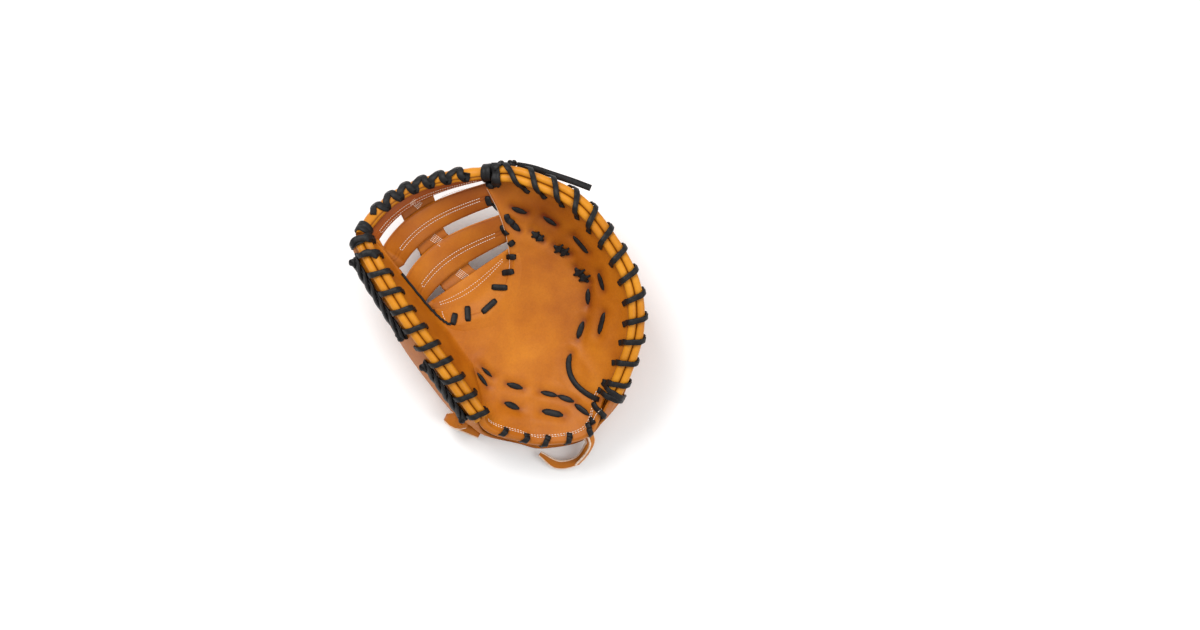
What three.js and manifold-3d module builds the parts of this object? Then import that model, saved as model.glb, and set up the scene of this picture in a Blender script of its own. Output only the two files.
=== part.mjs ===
// A first baseman's mitt for the left hand, opened wide and lying on its back with the palm up.
// Millimetres. X runs from the thumb (-) to the little finger (+), Y from the heel (-) to the tips (+) and
// Z up, out of the palm. The origin is on the flat patch that the back of the fingers rests on.
import * as THREE from "three";
import { mergeVertices } from "three/addons/utils/BufferGeometryUtils.js";
import Module from "manifold-3d";

const wasm = await Module();
wasm.setup();

// Driving dimensions
const MITT_WIDTH = 300;
const MITT_LENGTH = 300;
const RIM_HEIGHT = 116;
const GAP = 0.35;
const SMOOTHING = 0.08;

// Leather and padding
const RIM_PAD = 8;
const PALM_PAD = 12;
const EDGE_LEATHER = 4;
const BACK_WALL = 3;

// Rim binding: two rolls side by side
const BINDING_WIDTH = 17;
const BINDING_RISE = 4.6;

// Rawhide lace: a flat strip
const LACE_WIDTH = 6;
const LACE_THICK = 2.4;
const LACE_PITCH = 23;
const LACE_INSET = 7.5;
const LACE_SLACK = 0.9;
const KNOT_WIDTH = 12;
const SIDE_LACE_DROP = 18;

// Web: bars across, a post behind them and a roll along the top
const BAR_THICK = 4;
const POST_THICK = 3.5;
const ROLL_WIDTH = 13;
const TOP_LACE_TURNS = 6;

// Wrist: hand opening, strap, liner
const OPENING_LENGTH = 94;
const OPENING_WIDTH = 36;
const STRAP_THICK = 3;
const SLOT_WIDTH = 4;
const HEEL_STRAP_WIDTH = 9;
const TAB_WIDTH = 18;
const LINER_THICK = 1.5;

// Middle of the flat patch under the fingers, in shares of MITT_WIDTH and MITT_LENGTH
const REST_X = 0.263;
const REST_Y = 0.08;

// Steepness of the palm's wall from the rim to the pocket
const WALL_POWER = 1.7;

// Palm sections from thumb tip to finger tip. rim_* is the middle of the rim, edge_* the edge by the web.
// x is a share of MITT_WIDTH, y of MITT_LENGTH, z of RIM_HEIGHT. wall is the share of the section that
// climbs to the rim, and cover is 1 where the binding covers the palm's outer end.
const PALM_ROWS = [
  { name: "thumb_tip", rim_x: -0.496, rim_y: 0.227, rim_z: 0.862,
    edge_x: -0.44, edge_y: 0.216, edge_z: 0.759, wall: 1.0, cover: 1 },
  { name: "thumb_upper", rim_x: -0.43, rim_y: 0.107, rim_z: 0.922,
    edge_x: -0.378, edge_y: 0.135, edge_z: 0.655, wall: 1.0, cover: 1 },
  { name: "thumb_middle", rim_x: -0.324, rim_y: -0.061, rim_z: 0.914,
    edge_x: -0.266, edge_y: -0.003, edge_z: 0.5, wall: 1.0, cover: 1 },
  { name: "thumb_lower", rim_x: -0.208, rim_y: -0.215, rim_z: 0.81,
    edge_x: -0.205, edge_y: -0.059, edge_z: 0.422, wall: 0.85, cover: 1 },
  { name: "thumb_base", rim_x: -0.105, rim_y: -0.361, rim_z: 0.681,
    edge_x: -0.166, edge_y: -0.057, edge_z: 0.414, wall: 0.6, cover: 1 },
  { name: "heel_corner", rim_x: -0.05, rim_y: -0.425, rim_z: 0.621,
    edge_x: -0.144, edge_y: -0.048, edge_z: 0.409, wall: 0.5, cover: 0 },
  { name: "heel_thumb", rim_x: 0.055, rim_y: -0.463, rim_z: 0.552,
    edge_x: -0.118, edge_y: -0.036, edge_z: 0.405, wall: 0.45, cover: 0 },
  { name: "heel_middle", rim_x: 0.142, rim_y: -0.481, rim_z: 0.534,
    edge_x: -0.095, edge_y: -0.028, edge_z: 0.401, wall: 0.45, cover: 0 },
  { name: "heel_little", rim_x: 0.29, rim_y: -0.448, rim_z: 0.569,
    edge_x: -0.066, edge_y: -0.018, edge_z: 0.397, wall: 0.42, cover: 0 },
  { name: "little_base", rim_x: 0.362, rim_y: -0.338, rim_z: 0.655,
    edge_x: -0.042, edge_y: 0.003, edge_z: 0.397, wall: 0.42, cover: 1 },
  { name: "little_lower", rim_x: 0.413, rim_y: -0.229, rim_z: 0.759,
    edge_x: -0.023, edge_y: 0.028, edge_z: 0.405, wall: 0.42, cover: 1 },
  { name: "finger_lower", rim_x: 0.453, rim_y: -0.083, rim_z: 0.871,
    edge_x: -0.005, edge_y: 0.057, edge_z: 0.414, wall: 0.42, cover: 1 },
  { name: "finger_middle", rim_x: 0.439, rim_y: 0.07, rim_z: 0.948,
    edge_x: 0.01, edge_y: 0.095, edge_z: 0.431, wall: 0.42, cover: 1 },
  { name: "finger_upper", rim_x: 0.358, rim_y: 0.224, rim_z: 0.991,
    edge_x: 0.022, edge_y: 0.147, edge_z: 0.466, wall: 0.5, cover: 1 },
  { name: "finger_shoulder", rim_x: 0.238, rim_y: 0.362, rim_z: 0.991,
    edge_x: 0.012, edge_y: 0.232, edge_z: 0.552, wall: 0.65, cover: 1 },
  { name: "finger_top", rim_x: 0.062, rim_y: 0.443, rim_z: 0.914,
    edge_x: -0.019, edge_y: 0.33, edge_z: 0.672, wall: 1.0, cover: 1 },
  { name: "finger_tip", rim_x: -0.036, rim_y: 0.453, rim_z: 0.862,
    edge_x: -0.06, edge_y: 0.408, edge_z: 0.759, wall: 1.0, cover: 1 },
];
const LAST = PALM_ROWS.length - 1;

// Back sections at the same stations. shift_* and drop move the outer end from the rim to the wrist's hem,
// edge_* is the edge beside the web, bulge (of MITT_WIDTH) swells the back outward, side_z and belly_z pull
// it down.
const BACK_ROWS = [
  { name: "thumb_tip", shift_x: 0, shift_y: 0, drop: 0,
    edge_x: -0.443, edge_y: 0.2, edge_z: 0.62, bulge: 0.05, side_z: 0.7, belly_z: 0.5 },
  { name: "thumb_upper", shift_x: 0, shift_y: 0, drop: 0,
    edge_x: -0.382, edge_y: 0.12, edge_z: 0.53, bulge: 0.09, side_z: 0.5, belly_z: 0.26 },
  { name: "thumb_middle", shift_x: 0, shift_y: 0, drop: 0,
    edge_x: -0.276, edge_y: -0.03, edge_z: 0.38, bulge: 0.13, side_z: 0.14, belly_z: -0.08 },
  { name: "thumb_lower", shift_x: 0, shift_y: 0, drop: 0,
    edge_x: -0.222, edge_y: -0.105, edge_z: 0.31, bulge: 0.16, side_z: -0.1, belly_z: -0.3 },
  { name: "thumb_base", shift_x: 0, shift_y: 0, drop: 0.04,
    edge_x: -0.194, edge_y: -0.112, edge_z: 0.305, bulge: 0.13, side_z: -0.1, belly_z: -0.24 },
  { name: "heel_corner", shift_x: -0.016, shift_y: -0.02, drop: 0.4,
    edge_x: -0.172, edge_y: -0.11, edge_z: 0.3, bulge: 0.05, side_z: 0.05, belly_z: 0.0 },
  { name: "heel_thumb", shift_x: 0, shift_y: -0.02, drop: 0.42,
    edge_x: -0.148, edge_y: -0.104, edge_z: 0.3, bulge: 0, side_z: 0.03, belly_z: -0.01 },
  { name: "heel_middle", shift_x: 0, shift_y: -0.018, drop: 0.41,
    edge_x: -0.122, edge_y: -0.092, edge_z: 0.3, bulge: 0, side_z: 0.03, belly_z: -0.02 },
  { name: "heel_little", shift_x: 0, shift_y: -0.014, drop: 0.42,
    edge_x: -0.09, edge_y: -0.07, edge_z: 0.3, bulge: 0.01, side_z: 0.04, belly_z: -0.06 },
  { name: "little_base", shift_x: 0.01, shift_y: 0, drop: 0.2,
    edge_x: -0.058, edge_y: -0.042, edge_z: 0.3, bulge: 0.02, side_z: 0.04, belly_z: -0.2 },
  { name: "little_lower", shift_x: 0, shift_y: 0, drop: 0,
    edge_x: -0.028, edge_y: -0.006, edge_z: 0.3, bulge: 0.025, side_z: 0.05, belly_z: -0.3 },
  { name: "finger_lower", shift_x: 0, shift_y: 0, drop: 0,
    edge_x: 0.01, edge_y: 0.026, edge_z: 0.31, bulge: 0.025, side_z: 0.02, belly_z: -0.32 },
  { name: "finger_middle", shift_x: 0, shift_y: 0, drop: 0,
    edge_x: 0.045, edge_y: 0.068, edge_z: 0.32, bulge: 0.02, side_z: -0.06, belly_z: -0.32 },
  { name: "finger_upper", shift_x: 0, shift_y: 0, drop: 0,
    edge_x: 0.078, edge_y: 0.14, edge_z: 0.35, bulge: 0.02, side_z: -0.1, belly_z: -0.32 },
  { name: "finger_shoulder", shift_x: 0, shift_y: 0, drop: 0,
    edge_x: 0.075, edge_y: 0.24, edge_z: 0.42, bulge: 0.018, side_z: 0.14, belly_z: -0.1 },
  { name: "finger_top", shift_x: 0, shift_y: 0, drop: 0,
    edge_x: 0.035, edge_y: 0.32, edge_z: 0.52, bulge: 0.016, side_z: 0.48, belly_z: 0.32 },
  { name: "finger_tip", shift_x: 0, shift_y: 0, drop: 0,
    edge_x: -0.03, edge_y: 0.395, edge_z: 0.6, bulge: 0.014, side_z: 0.6, belly_z: 0.5 },
];

// Web rows from the crotch to the top roll, each an edge of a bar. thumb_* and finger_* are the ends,
// arch bows the row outward (of MITT_LENGTH), sag lowers its middle (of RIM_HEIGHT).
const WEB_ROWS = [
  { name: "crotch", thumb_x: -0.253, thumb_y: -0.02, thumb_z: 0.41,
    finger_x: 0.027, finger_y: 0.167, finger_z: 0.4, arch: -0.085, sag: 0.06 },
  { name: "base_top", thumb_x: -0.258, thumb_y: 0.012, thumb_z: 0.44,
    finger_x: 0.005, finger_y: 0.191, finger_z: 0.44, arch: 0, sag: 0.09 },
  { name: "lower_bottom", thumb_x: -0.28, thumb_y: 0.012, thumb_z: 0.45,
    finger_x: 0.005, finger_y: 0.224, finger_z: 0.475, arch: 0.026, sag: 0.12 },
  { name: "lower_top", thumb_x: -0.342, thumb_y: 0.092, thumb_z: 0.55,
    finger_x: -0.017, finger_y: 0.311, finger_z: 0.58, arch: 0.044, sag: 0.16 },
  { name: "upper_bottom", thumb_x: -0.353, thumb_y: 0.143, thumb_z: 0.575,
    finger_x: -0.045, finger_y: 0.348, finger_z: 0.62, arch: 0.036, sag: 0.18 },
  { name: "upper_top", thumb_x: -0.422, thumb_y: 0.194, thumb_z: 0.66,
    finger_x: -0.06, finger_y: 0.422, finger_z: 0.69, arch: 0.05, sag: 0.21 },
  { name: "band_bottom", thumb_x: -0.441, thumb_y: 0.22, thumb_z: 0.69,
    finger_x: -0.066, finger_y: 0.439, finger_z: 0.71, arch: 0.052, sag: 0.2 },
  { name: "roll", thumb_x: -0.497, thumb_y: 0.232, thumb_z: 0.85,
    finger_x: -0.04, finger_y: 0.46, finger_z: 0.85, arch: 0.08, sag: 0.2 },
];
const WEB_LAST = WEB_ROWS.length - 1;

// Post behind the bars, with the finger side's and the thumb side's edge
const POST_ROWS = [
  { name: "band", near_x: -0.258, near_y: 0.391, far_x: -0.364, far_y: 0.333 },
  { name: "upper", near_x: -0.218, near_y: 0.265, far_x: -0.298, far_y: 0.196 },
  { name: "middle", near_x: -0.182, near_y: 0.225, far_x: -0.265, far_y: 0.155 },
  { name: "lower", near_x: -0.134, near_y: 0.144, far_x: -0.222, far_y: 0.071 },
  { name: "base", near_x: -0.101, near_y: 0.115, far_x: -0.205, far_y: 0.05 },
  { name: "ankle", near_x: -0.065, near_y: 0.07, far_x: -0.235, far_y: 0.01 },
  { name: "foot", near_x: -0.045, near_y: 0.045, far_x: -0.235, far_y: -0.02 },
];

// Strap across the wrist, from the little finger's side to the thumb's: its two edges and the slot between
const STRAP_ROWS = [
  { name: "little", near_x: 0.249, near_y: -0.383,
    far_x: 0.2, far_y: -0.475, slot_x: 0.225, slot_y: -0.44 },
  { name: "little_inner", near_x: 0.15, near_y: -0.368,
    far_x: 0.125, far_y: -0.478, slot_x: 0.14, slot_y: -0.428 },
  { name: "keeper", near_x: 0.048, near_y: -0.358,
    far_x: 0.045, far_y: -0.468, slot_x: 0.048, slot_y: -0.416 },
  { name: "thumb_inner", near_x: -0.03, near_y: -0.343,
    far_x: -0.03, far_y: -0.44, slot_x: -0.03, slot_y: -0.392 },
  { name: "thumb", near_x: -0.1, near_y: -0.32,
    far_x: -0.075, far_y: -0.405, slot_x: -0.09, slot_y: -0.36 },
];
const FLAP_ROWS = [
  { name: "root", near_x: 0.262, near_y: -0.27, far_x: 0.318, far_y: -0.3 },
  { name: "middle", near_x: 0.235, near_y: -0.31, far_x: 0.29, far_y: -0.345 },
  { name: "end", near_x: 0.2, near_y: -0.35, far_x: 0.24, far_y: -0.372 },
];
const HAND_OPENING = { x: 0.123, y: -0.243, turn: 0.1 };

// Straps that stand off the leather, through points as shares
const HEEL_STRAP_ROWS = [
  { name: "root", x: 0.275, y: -0.375, z: 0.21 },
  { name: "fall", x: 0.298, y: -0.49, z: 0.135 },
  { name: "turn", x: 0.262, y: -0.55, z: 0.08 },
  { name: "return", x: 0.19, y: -0.568, z: 0.06 },
  { name: "end", x: 0.125, y: -0.528, z: 0.09 },
];
const TAB_ROWS = [
  { name: "strap", x: -0.095, y: -0.375, z: 0.045 },
  { name: "side", x: -0.145, y: -0.39, z: 0.1 },
  { name: "turn", x: -0.175, y: -0.405, z: 0.26 },
];

// Knots, and the lace that runs to one from a hole beside the web
const FINGER_KNOT = { x: 0.155, y: 0.22, z: 0.048, from_x: 0.118, from_y: 0.238, to_x: 0.137, to_y: 0.228 };
const TIP_KNOT = { x: 0.025, y: 0.487, z: 0.8 };

// Laces along the outside of the thumb, between two stations
const THUMB_SIDE = [
  { name: "upper", from: 0.5, to: 2.1 },
  { name: "lower", from: 2.75, to: 4.0 },
];

// Free ends of the laces, from their knots to a bare end
const TIP_TAIL_ROWS = [
  { name: "bend", x: 0.095, y: 0.475, z: 0.77 },
  { name: "middle", x: 0.163, y: 0.453, z: 0.77 },
  { name: "lower", x: 0.232, y: 0.43, z: 0.78 },
  { name: "end", x: 0.298, y: 0.405, z: 0.79 },
];
const WEB_TAIL_UPPER_ROWS = [
  { name: "bend", x: -0.257, y: 0.1, z: 0.228 },
  { name: "hang", x: -0.27, y: 0.07, z: 0.155 },
  { name: "fall", x: -0.283, y: 0.04, z: 0.07 },
  { name: "land", x: -0.3, y: 0, z: 0.019 },
  { name: "lie", x: -0.322, y: -0.045, z: 0.0145 },
  { name: "end", x: -0.335, y: -0.071, z: 0.0145 },
];
const WEB_TAIL_LOWER_ROWS = [
  { name: "bend", x: -0.185, y: 0.001, z: 0.216 },
  { name: "hang", x: -0.188, y: -0.028, z: 0.145 },
  { name: "fall", x: -0.19, y: -0.058, z: 0.07 },
  { name: "land", x: -0.187, y: -0.095, z: 0.019 },
  { name: "lie", x: -0.18, y: -0.13, z: 0.018 },
  { name: "end", x: -0.173, y: -0.156, z: 0.018 },
];
const FINGER_TAIL_ROWS = [
  { name: "bend", x: 0.12, y: 0.18, z: 0.02 },
  { name: "upper", x: 0.09, y: 0.147, z: 0.0145 },
  { name: "middle", x: 0.067, y: 0.11, z: 0.0145 },
  { name: "lower", x: 0.05, y: 0.067, z: 0.0145 },
  { name: "end", x: 0.045, y: -0.03, z: 0.0145 },
];

// Laces from a hole beside the web to a knot behind the post
const WEB_KNOTS = [
  { name: "upper", x: -0.237, y: 0.139, from_x: 0.075, from_y: 0.3, tail: WEB_TAIL_UPPER_ROWS },
  { name: "lower", x: -0.165, y: 0.039, from_x: 0.1, from_y: 0.25, tail: WEB_TAIL_LOWER_ROWS },
];

const clamp = (value, low, high) => Math.min(high, Math.max(low, value));
const mix = (a, b, t) => a + (b - a) * t;
const smooth = (t) => t * t * (3 - 2 * t);

// A table's columns at a station that may lie between two rows, by Catmull-Rom.
function rowAt(rows, station) {
  const i = clamp(Math.floor(station), 0, rows.length - 2);
  const t = station - i;
  const pick = (k) => rows[clamp(k, 0, rows.length - 1)];
  const at = {};
  for (const column of Object.keys(rows[0]).filter((c) => c !== "name")) {
    const [a, b, c, d] = [i - 1, i, i + 1, i + 2].map((k) => pick(k)[column]);
    const bend = (2 * a - 5 * b + 4 * c - d) * t * t + (3 * b - a - 3 * c + d) * t ** 3;
    at[column] = 0.5 * (2 * b + (c - a) * t + bend);
  }
  return at;
}
const scaled = (x, y, z) => new THREE.Vector3(x * MITT_WIDTH, y * MITT_LENGTH, z * RIM_HEIGHT);

// Middle of the rim, and the rim's level direction out of the mitt.
function rimPoint(station) {
  const r = rowAt(PALM_ROWS, station);
  return scaled(r.rim_x, r.rim_y, r.rim_z);
}
function rimAlong(station) {
  return rimPoint(Math.min(station + 0.05, LAST)).sub(rimPoint(Math.max(station - 0.05, 0))).normalize();
}
function rimOutward(station) {
  const along = rimAlong(station);
  return new THREE.Vector3(along.y, -along.x, 0).normalize();
}

// Palm surface: s runs from 0 at the rim to 1 at the free edge beside the web.
function palmPoint(station, s) {
  const r = rowAt(PALM_ROWS, station);
  const rim = rimPoint(station).addScaledVector(rimOutward(station), (-r.cover * BINDING_WIDTH) / 2);
  const edge = scaled(r.edge_x, r.edge_y, r.edge_z);
  const climb = Math.max(0, 1 - s / Math.min(r.wall, 1)) ** WALL_POWER;
  const p = rim.clone().lerp(edge, s);
  p.z = mix(edge.z, rim.z - (BINDING_RISE + 2 * GAP) * r.cover, climb);
  return p;
}
function palmThickness(s) {
  return s < 0.5 ? mix(RIM_PAD, PALM_PAD, smooth(s * 2)) : mix(PALM_PAD, EDGE_LEATHER, smooth(s * 2 - 1));
}

// Back surface, outside: t runs from 0 at the rim or the wrist's hem to 1 at the free edge beside the web.
function backPoint(station, t) {
  const r = rowAt(BACK_ROWS, station);
  const outward = rimOutward(station);
  const underBinding = (rowAt(PALM_ROWS, station).cover * BINDING_WIDTH) / 2;
  const start = rimPoint(station)
    .addScaledVector(outward, Math.max(underBinding, GAP + BACK_WALL))
    .add(scaled(r.shift_x, r.shift_y, -Math.max(r.drop, 0)));
  start.z -= BINDING_RISE + 2 * GAP;
  const edge = scaled(r.edge_x, r.edge_y, r.edge_z);
  const inward = edge.clone().sub(start).setZ(0);
  const side = start.clone().addScaledVector(outward, r.bulge * MITT_WIDTH).setZ(r.side_z * RIM_HEIGHT);
  const belly = start.clone().addScaledVector(inward, 0.6).setZ(r.belly_z * RIM_HEIGHT);
  const p = new THREE.CubicBezierCurve3(start, side, belly, edge).getPoint(t);
  p.z = Math.max(p.z, 0);
  return p;
}

// Web surface: a runs from the thumb to the fingers, b counts the rows of WEB_ROWS.
function webPoint(a, b) {
  const r = rowAt(WEB_ROWS, b);
  const thumb = scaled(r.thumb_x, r.thumb_y, r.thumb_z);
  const finger = scaled(r.finger_x, r.finger_y, r.finger_z);
  const across = finger.clone().sub(thumb).setZ(0).normalize();
  const bow = Math.sin(Math.PI * clamp(a, 0, 1) ** 0.8);
  return thumb.lerp(finger, a)
    .add(new THREE.Vector3(-across.y, across.x, 0).multiplyScalar(bow * r.arch * MITT_LENGTH))
    .add(new THREE.Vector3(0, 0, -bow * r.sag * RIM_HEIGHT));
}

// Grids of points on a surface, and the surface's normal (up and into the pocket).
function normalOf(surface, u, v) {
  const e = 0.02;
  const along = surface(u + e, v).sub(surface(u - e, v));
  const across = surface(u, v + e).sub(surface(u, v - e));
  return along.cross(across).normalize();
}
const within = (surface, last) => (u, v) => surface(clamp(u, 0, last), clamp(v, 0, 1));
const palmSurface = within(palmPoint, LAST);
const backSurface = within(backPoint, LAST);
const webSurface = (a, b) => webPoint(a, clamp(b, 0, WEB_LAST));
function grid(surface, lift, [from, to, steps], [low, high, rings]) {
  return Array.from({ length: steps + 1 }, (_, i) =>
    Array.from({ length: rings + 1 }, (_, j) => {
      const [u, v] = [mix(from, to, i / steps), mix(low, high, j / rings)];
      return surface(u, v).addScaledVector(normalOf(surface, u, v), lift(u, v));
    }));
}
// The same grid with its four borders pushed out.
function widened(points, by) {
  const [last, end] = [points.length - 1, points[0].length - 1];
  const away = (i, j, k, l) => points[i][j].clone().sub(points[k][l]).normalize().multiplyScalar(by);
  return points.map((row, i) =>
    row.map((p, j) => {
      const q = p.clone();
      if (i === 0) q.add(away(0, j, 1, j));
      if (i === last) q.add(away(last, j, last - 1, j));
      if (j === 0) q.add(away(i, 0, i, 1));
      if (j === end) q.add(away(i, end, i, end - 1));
      return q;
    }));
}

// One closed body from a grid of points above and one below it.
function slab(above, below) {
  const rows = above.length;
  const columns = above[0].length;
  const points = [...above.flat(), ...below.flat()];
  const index = (side, i, j) => side * rows * columns + i * columns + j;
  const faces = [];
  const quad = (a, b, c, d) => faces.push(a, b, c, a, c, d);
  for (let i = 0; i + 1 < rows; i++)
    for (let j = 0; j + 1 < columns; j++) {
      quad(index(0, i, j), index(0, i + 1, j), index(0, i + 1, j + 1), index(0, i, j + 1));
      quad(index(1, i, j), index(1, i, j + 1), index(1, i + 1, j + 1), index(1, i + 1, j));
    }
  for (let i = 0; i + 1 < rows; i++)
    for (const j of [0, columns - 1]) {
      const q = [index(0, i, j), index(1, i, j), index(1, i + 1, j), index(0, i + 1, j)];
      quad(...(j === 0 ? q : q.reverse()));
    }
  for (let j = 0; j + 1 < columns; j++)
    for (const i of [0, rows - 1]) {
      const q = [index(0, i, j), index(0, i, j + 1), index(1, i, j + 1), index(1, i, j)];
      quad(...(i === 0 ? q : q.reverse()));
    }
  return meshOf(points, faces);
}
function meshOf(points, faces) {
  const geometry = new THREE.BufferGeometry();
  const flat = points.flatMap((p) => p.toArray());
  geometry.setAttribute("position", new THREE.Float32BufferAttribute(flat, 3));
  geometry.setIndex(faces);
  return geometry;
}

// A profile of [out, up] points, listed clockwise, carried along a path. out, up and the way ahead are
// right-handed.
function sweep(path, profile) {
  const n = profile.length;
  const points = path.flatMap(({ at, out, up, wide = 1 }) =>
    profile.map(([x, y]) => at.clone().addScaledVector(out, x * wide).addScaledVector(up, y)));
  const faces = [];
  for (let i = 0; i + 1 < path.length; i++)
    for (let j = 0; j < n; j++) {
      const [a, b] = [i * n + j, i * n + ((j + 1) % n)];
      faces.push(a, a + n, b + n, a, b + n, b);
    }
  const end = (path.length - 1) * n;
  const outline = profile.map(([x, y]) => new THREE.Vector2(x, y));
  for (const [a, b, c] of THREE.ShapeUtils.triangulateShape(outline, []))
    faces.push(a, c, b, end + a, end + b, end + c);
  return meshOf(points, faces);
}
// A flat strip through stops, each a point and the way its face looks. One with sharp turns is joined from
// stretches.
function strip(stops, width, thick, turning) {
  const stopAt = (i) => stops[clamp(i, 0, stops.length - 1)].at;
  const path = stops.map(({ at, face, wide }, i) => {
    const along = stopAt(i + 1).clone().sub(stopAt(i - 1)).normalize();
    const up = face.clone().addScaledVector(along, -face.dot(along)).normalize();
    return { at, out: up.clone().cross(along), up, wide };
  });
  const [w, t] = [width / 2, thick / 2];
  const profile = [[-w, -t], [-w, t], [w, t], [w, -t]];
  if (!turning) return solidOf(sweep(path, profile));
  return joined(path.slice(1).map((_, i) => solidOf(sweep(path.slice(i, i + 2), profile))));
}
const lace = (stops, grow = 0, turning = true) =>
  strip(stops, LACE_WIDTH + 2 * grow, LACE_THICK + 2 * grow, turning);

// Solids for cutting and joining
function solidOf(geometry) {
  const plain = geometry.clone();
  plain.deleteAttribute("normal");
  plain.deleteAttribute("uv");
  const merged = mergeVertices(plain, 1e-4);
  return new wasm.Manifold(new wasm.Mesh({
    numProp: 3,
    vertProperties: merged.attributes.position.array,
    triVerts: new Uint32Array(merged.index.array),
  }));
}
function geometryOf(solid) {
  const { vertProperties, triVerts } = solid.asOriginal().simplify(SMOOTHING).getMesh();
  const geometry = new THREE.BufferGeometry();
  geometry.setAttribute("position", new THREE.Float32BufferAttribute(vertProperties, 3));
  geometry.setIndex([...triVerts]);
  return geometry;
}
const joined = (solids) => solids.reduce((whole, solid) => whole.add(solid));
// What is left of a piece once its neighbours are cut out of it, without loose scraps.
function cut(piece, neighbours) {
  const left = neighbours.reduce((rest, neighbour) => rest.subtract(neighbour), piece);
  return left.decompose().reduce((best, body) => (body.volume() > best.volume() ? body : best));
}

// A free lace end from a knot through a table's points: a flat cord with eight sides.
function tail(from, rows) {
  const [w, t] = [LACE_WIDTH / 2, LACE_THICK / 2];
  const corner = [[t, 0.7 * w], [0.6 * t, w]];
  const half = [...corner, ...corner.map(([x, y]) => [-x, y]).reverse()];
  const section = [...half, ...half.map(([x, y]) => [-x, -y])].map(([x, y]) => new THREE.Vector2(x, y));
  const path = new THREE.CatmullRomCurve3([from, ...rows.map((r) => scaled(r.x, r.y, r.z))]);
  const steps = Math.round(path.getLength() / (2 * LACE_WIDTH));
  const shape = new THREE.Shape(section);
  const cord = new THREE.ExtrudeGeometry(shape, { steps, extrudePath: path, bevelEnabled: false });
  return solidOf(cord).subtract(knot(from, GAP));
}
function knot({ x, y, z }, grow) {
  const ball = new THREE.SphereGeometry(KNOT_WIDTH / 2 + grow, 10, 7);
  ball.scale(1, 1, 0.75);
  ball.translate(x, y, z);
  return solidOf(ball);
}

// Where a vertical line meets a sheet, from below (-1) or from above (1).
const probe = new THREE.Raycaster();
const lowered = (points) => points.map((row) => row.map((p) => p.clone().setZ(p.z - 0.01)));
const sheetOf = (points) => new THREE.Mesh(slab(points, lowered(points)));
function meet(sheet, x, y, side) {
  probe.set(new THREE.Vector3(x, y, side * 4 * RIM_HEIGHT), new THREE.Vector3(0, 0, -side));
  const [hit] = probe.intersectObject(sheet);
  return { at: hit.point, face: hit.face.normal.clone() };
}
// A slab laid on a sheet from below, between a table's near and far edges.
function drape(rows, sheet, lift, thick, steps, rings, grow) {
  const layer = (height) => widened(Array.from({ length: steps + 1 }, (_, i) => {
    const r = rowAt(rows, (i / steps) * (rows.length - 1));
    return Array.from({ length: rings + 1 }, (_, j) => {
      const x = mix(r.near_x, r.far_x, j / rings) * MITT_WIDTH;
      const y = mix(r.near_y, r.far_y, j / rings) * MITT_LENGTH;
      const { at, face } = meet(sheet, x, y, -1);
      return at.addScaledVector(face, height);
    });
  }), grow);
  const body = solidOf(slab(layer(lift - grow), layer(lift + thick + grow)));
  return body.volume() > 0 ? body : solidOf(slab(layer(lift + thick + grow), layer(lift - grow)));
}

// Binding round the rim
const BINDING_PROFILE = [
  { out: -1, up: -1 },
  { out: -1, up: 0.2 },
  { out: -0.78, up: 0.85 },
  { out: -0.5, up: 1 },
  { out: -0.2, up: 0.75 },
  { out: 0, up: 0.3 },
  { out: 0.2, up: 0.75 },
  { out: 0.5, up: 1 },
  { out: 0.78, up: 0.85 },
  { out: 1, up: 0.2 },
  { out: 1, up: -1 },
];
function rimFrame(station) {
  const out = rimOutward(station);
  return { at: rimPoint(station), out, up: out.clone().cross(rimAlong(station)).normalize() };
}
// Stations between two others, a pitch apart along the rim.
function rimStations(from, to, pitch) {
  const samples = Array.from({ length: 201 }, (_, i) => mix(from, to, i / 200));
  const lengths = [0];
  for (let i = 1; i < samples.length; i++)
    lengths.push(lengths[i - 1] + rimPoint(samples[i]).distanceTo(rimPoint(samples[i - 1])));
  const total = lengths[lengths.length - 1];
  const count = Math.round(total / pitch);
  return Array.from({ length: count + 1 }, (_, k) =>
    samples[lengths.findIndex((length) => length >= (total * k) / count - 1e-6)]);
}
function binding(from, to, grow) {
  const path = rimStations(from, to, 16).map(rimFrame);
  path[0].at.addScaledVector(rimAlong(from), -grow);
  path[path.length - 1].at.addScaledVector(rimAlong(to), grow);
  return solidOf(sweep(path.reverse(), BINDING_PROFILE.map(({ out, up }) =>
    [out * (BINDING_WIDTH / 2 + grow), up * (BINDING_RISE + grow)])));
}

// A point at a distance down a surface from its outer end, lifted off it.
function downFrom(surface, station, distance, lift, side) {
  let s = 0;
  let length = 0;
  let at = surface(station, 0);
  while (length < distance && s < 0.9) {
    s += 0.004;
    const next = surface(station, s);
    length += next.distanceTo(at);
    at = next;
  }
  const face = normalOf(surface, station, s).multiplyScalar(side);
  return { at: at.addScaledVector(face, lift), face };
}

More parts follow.
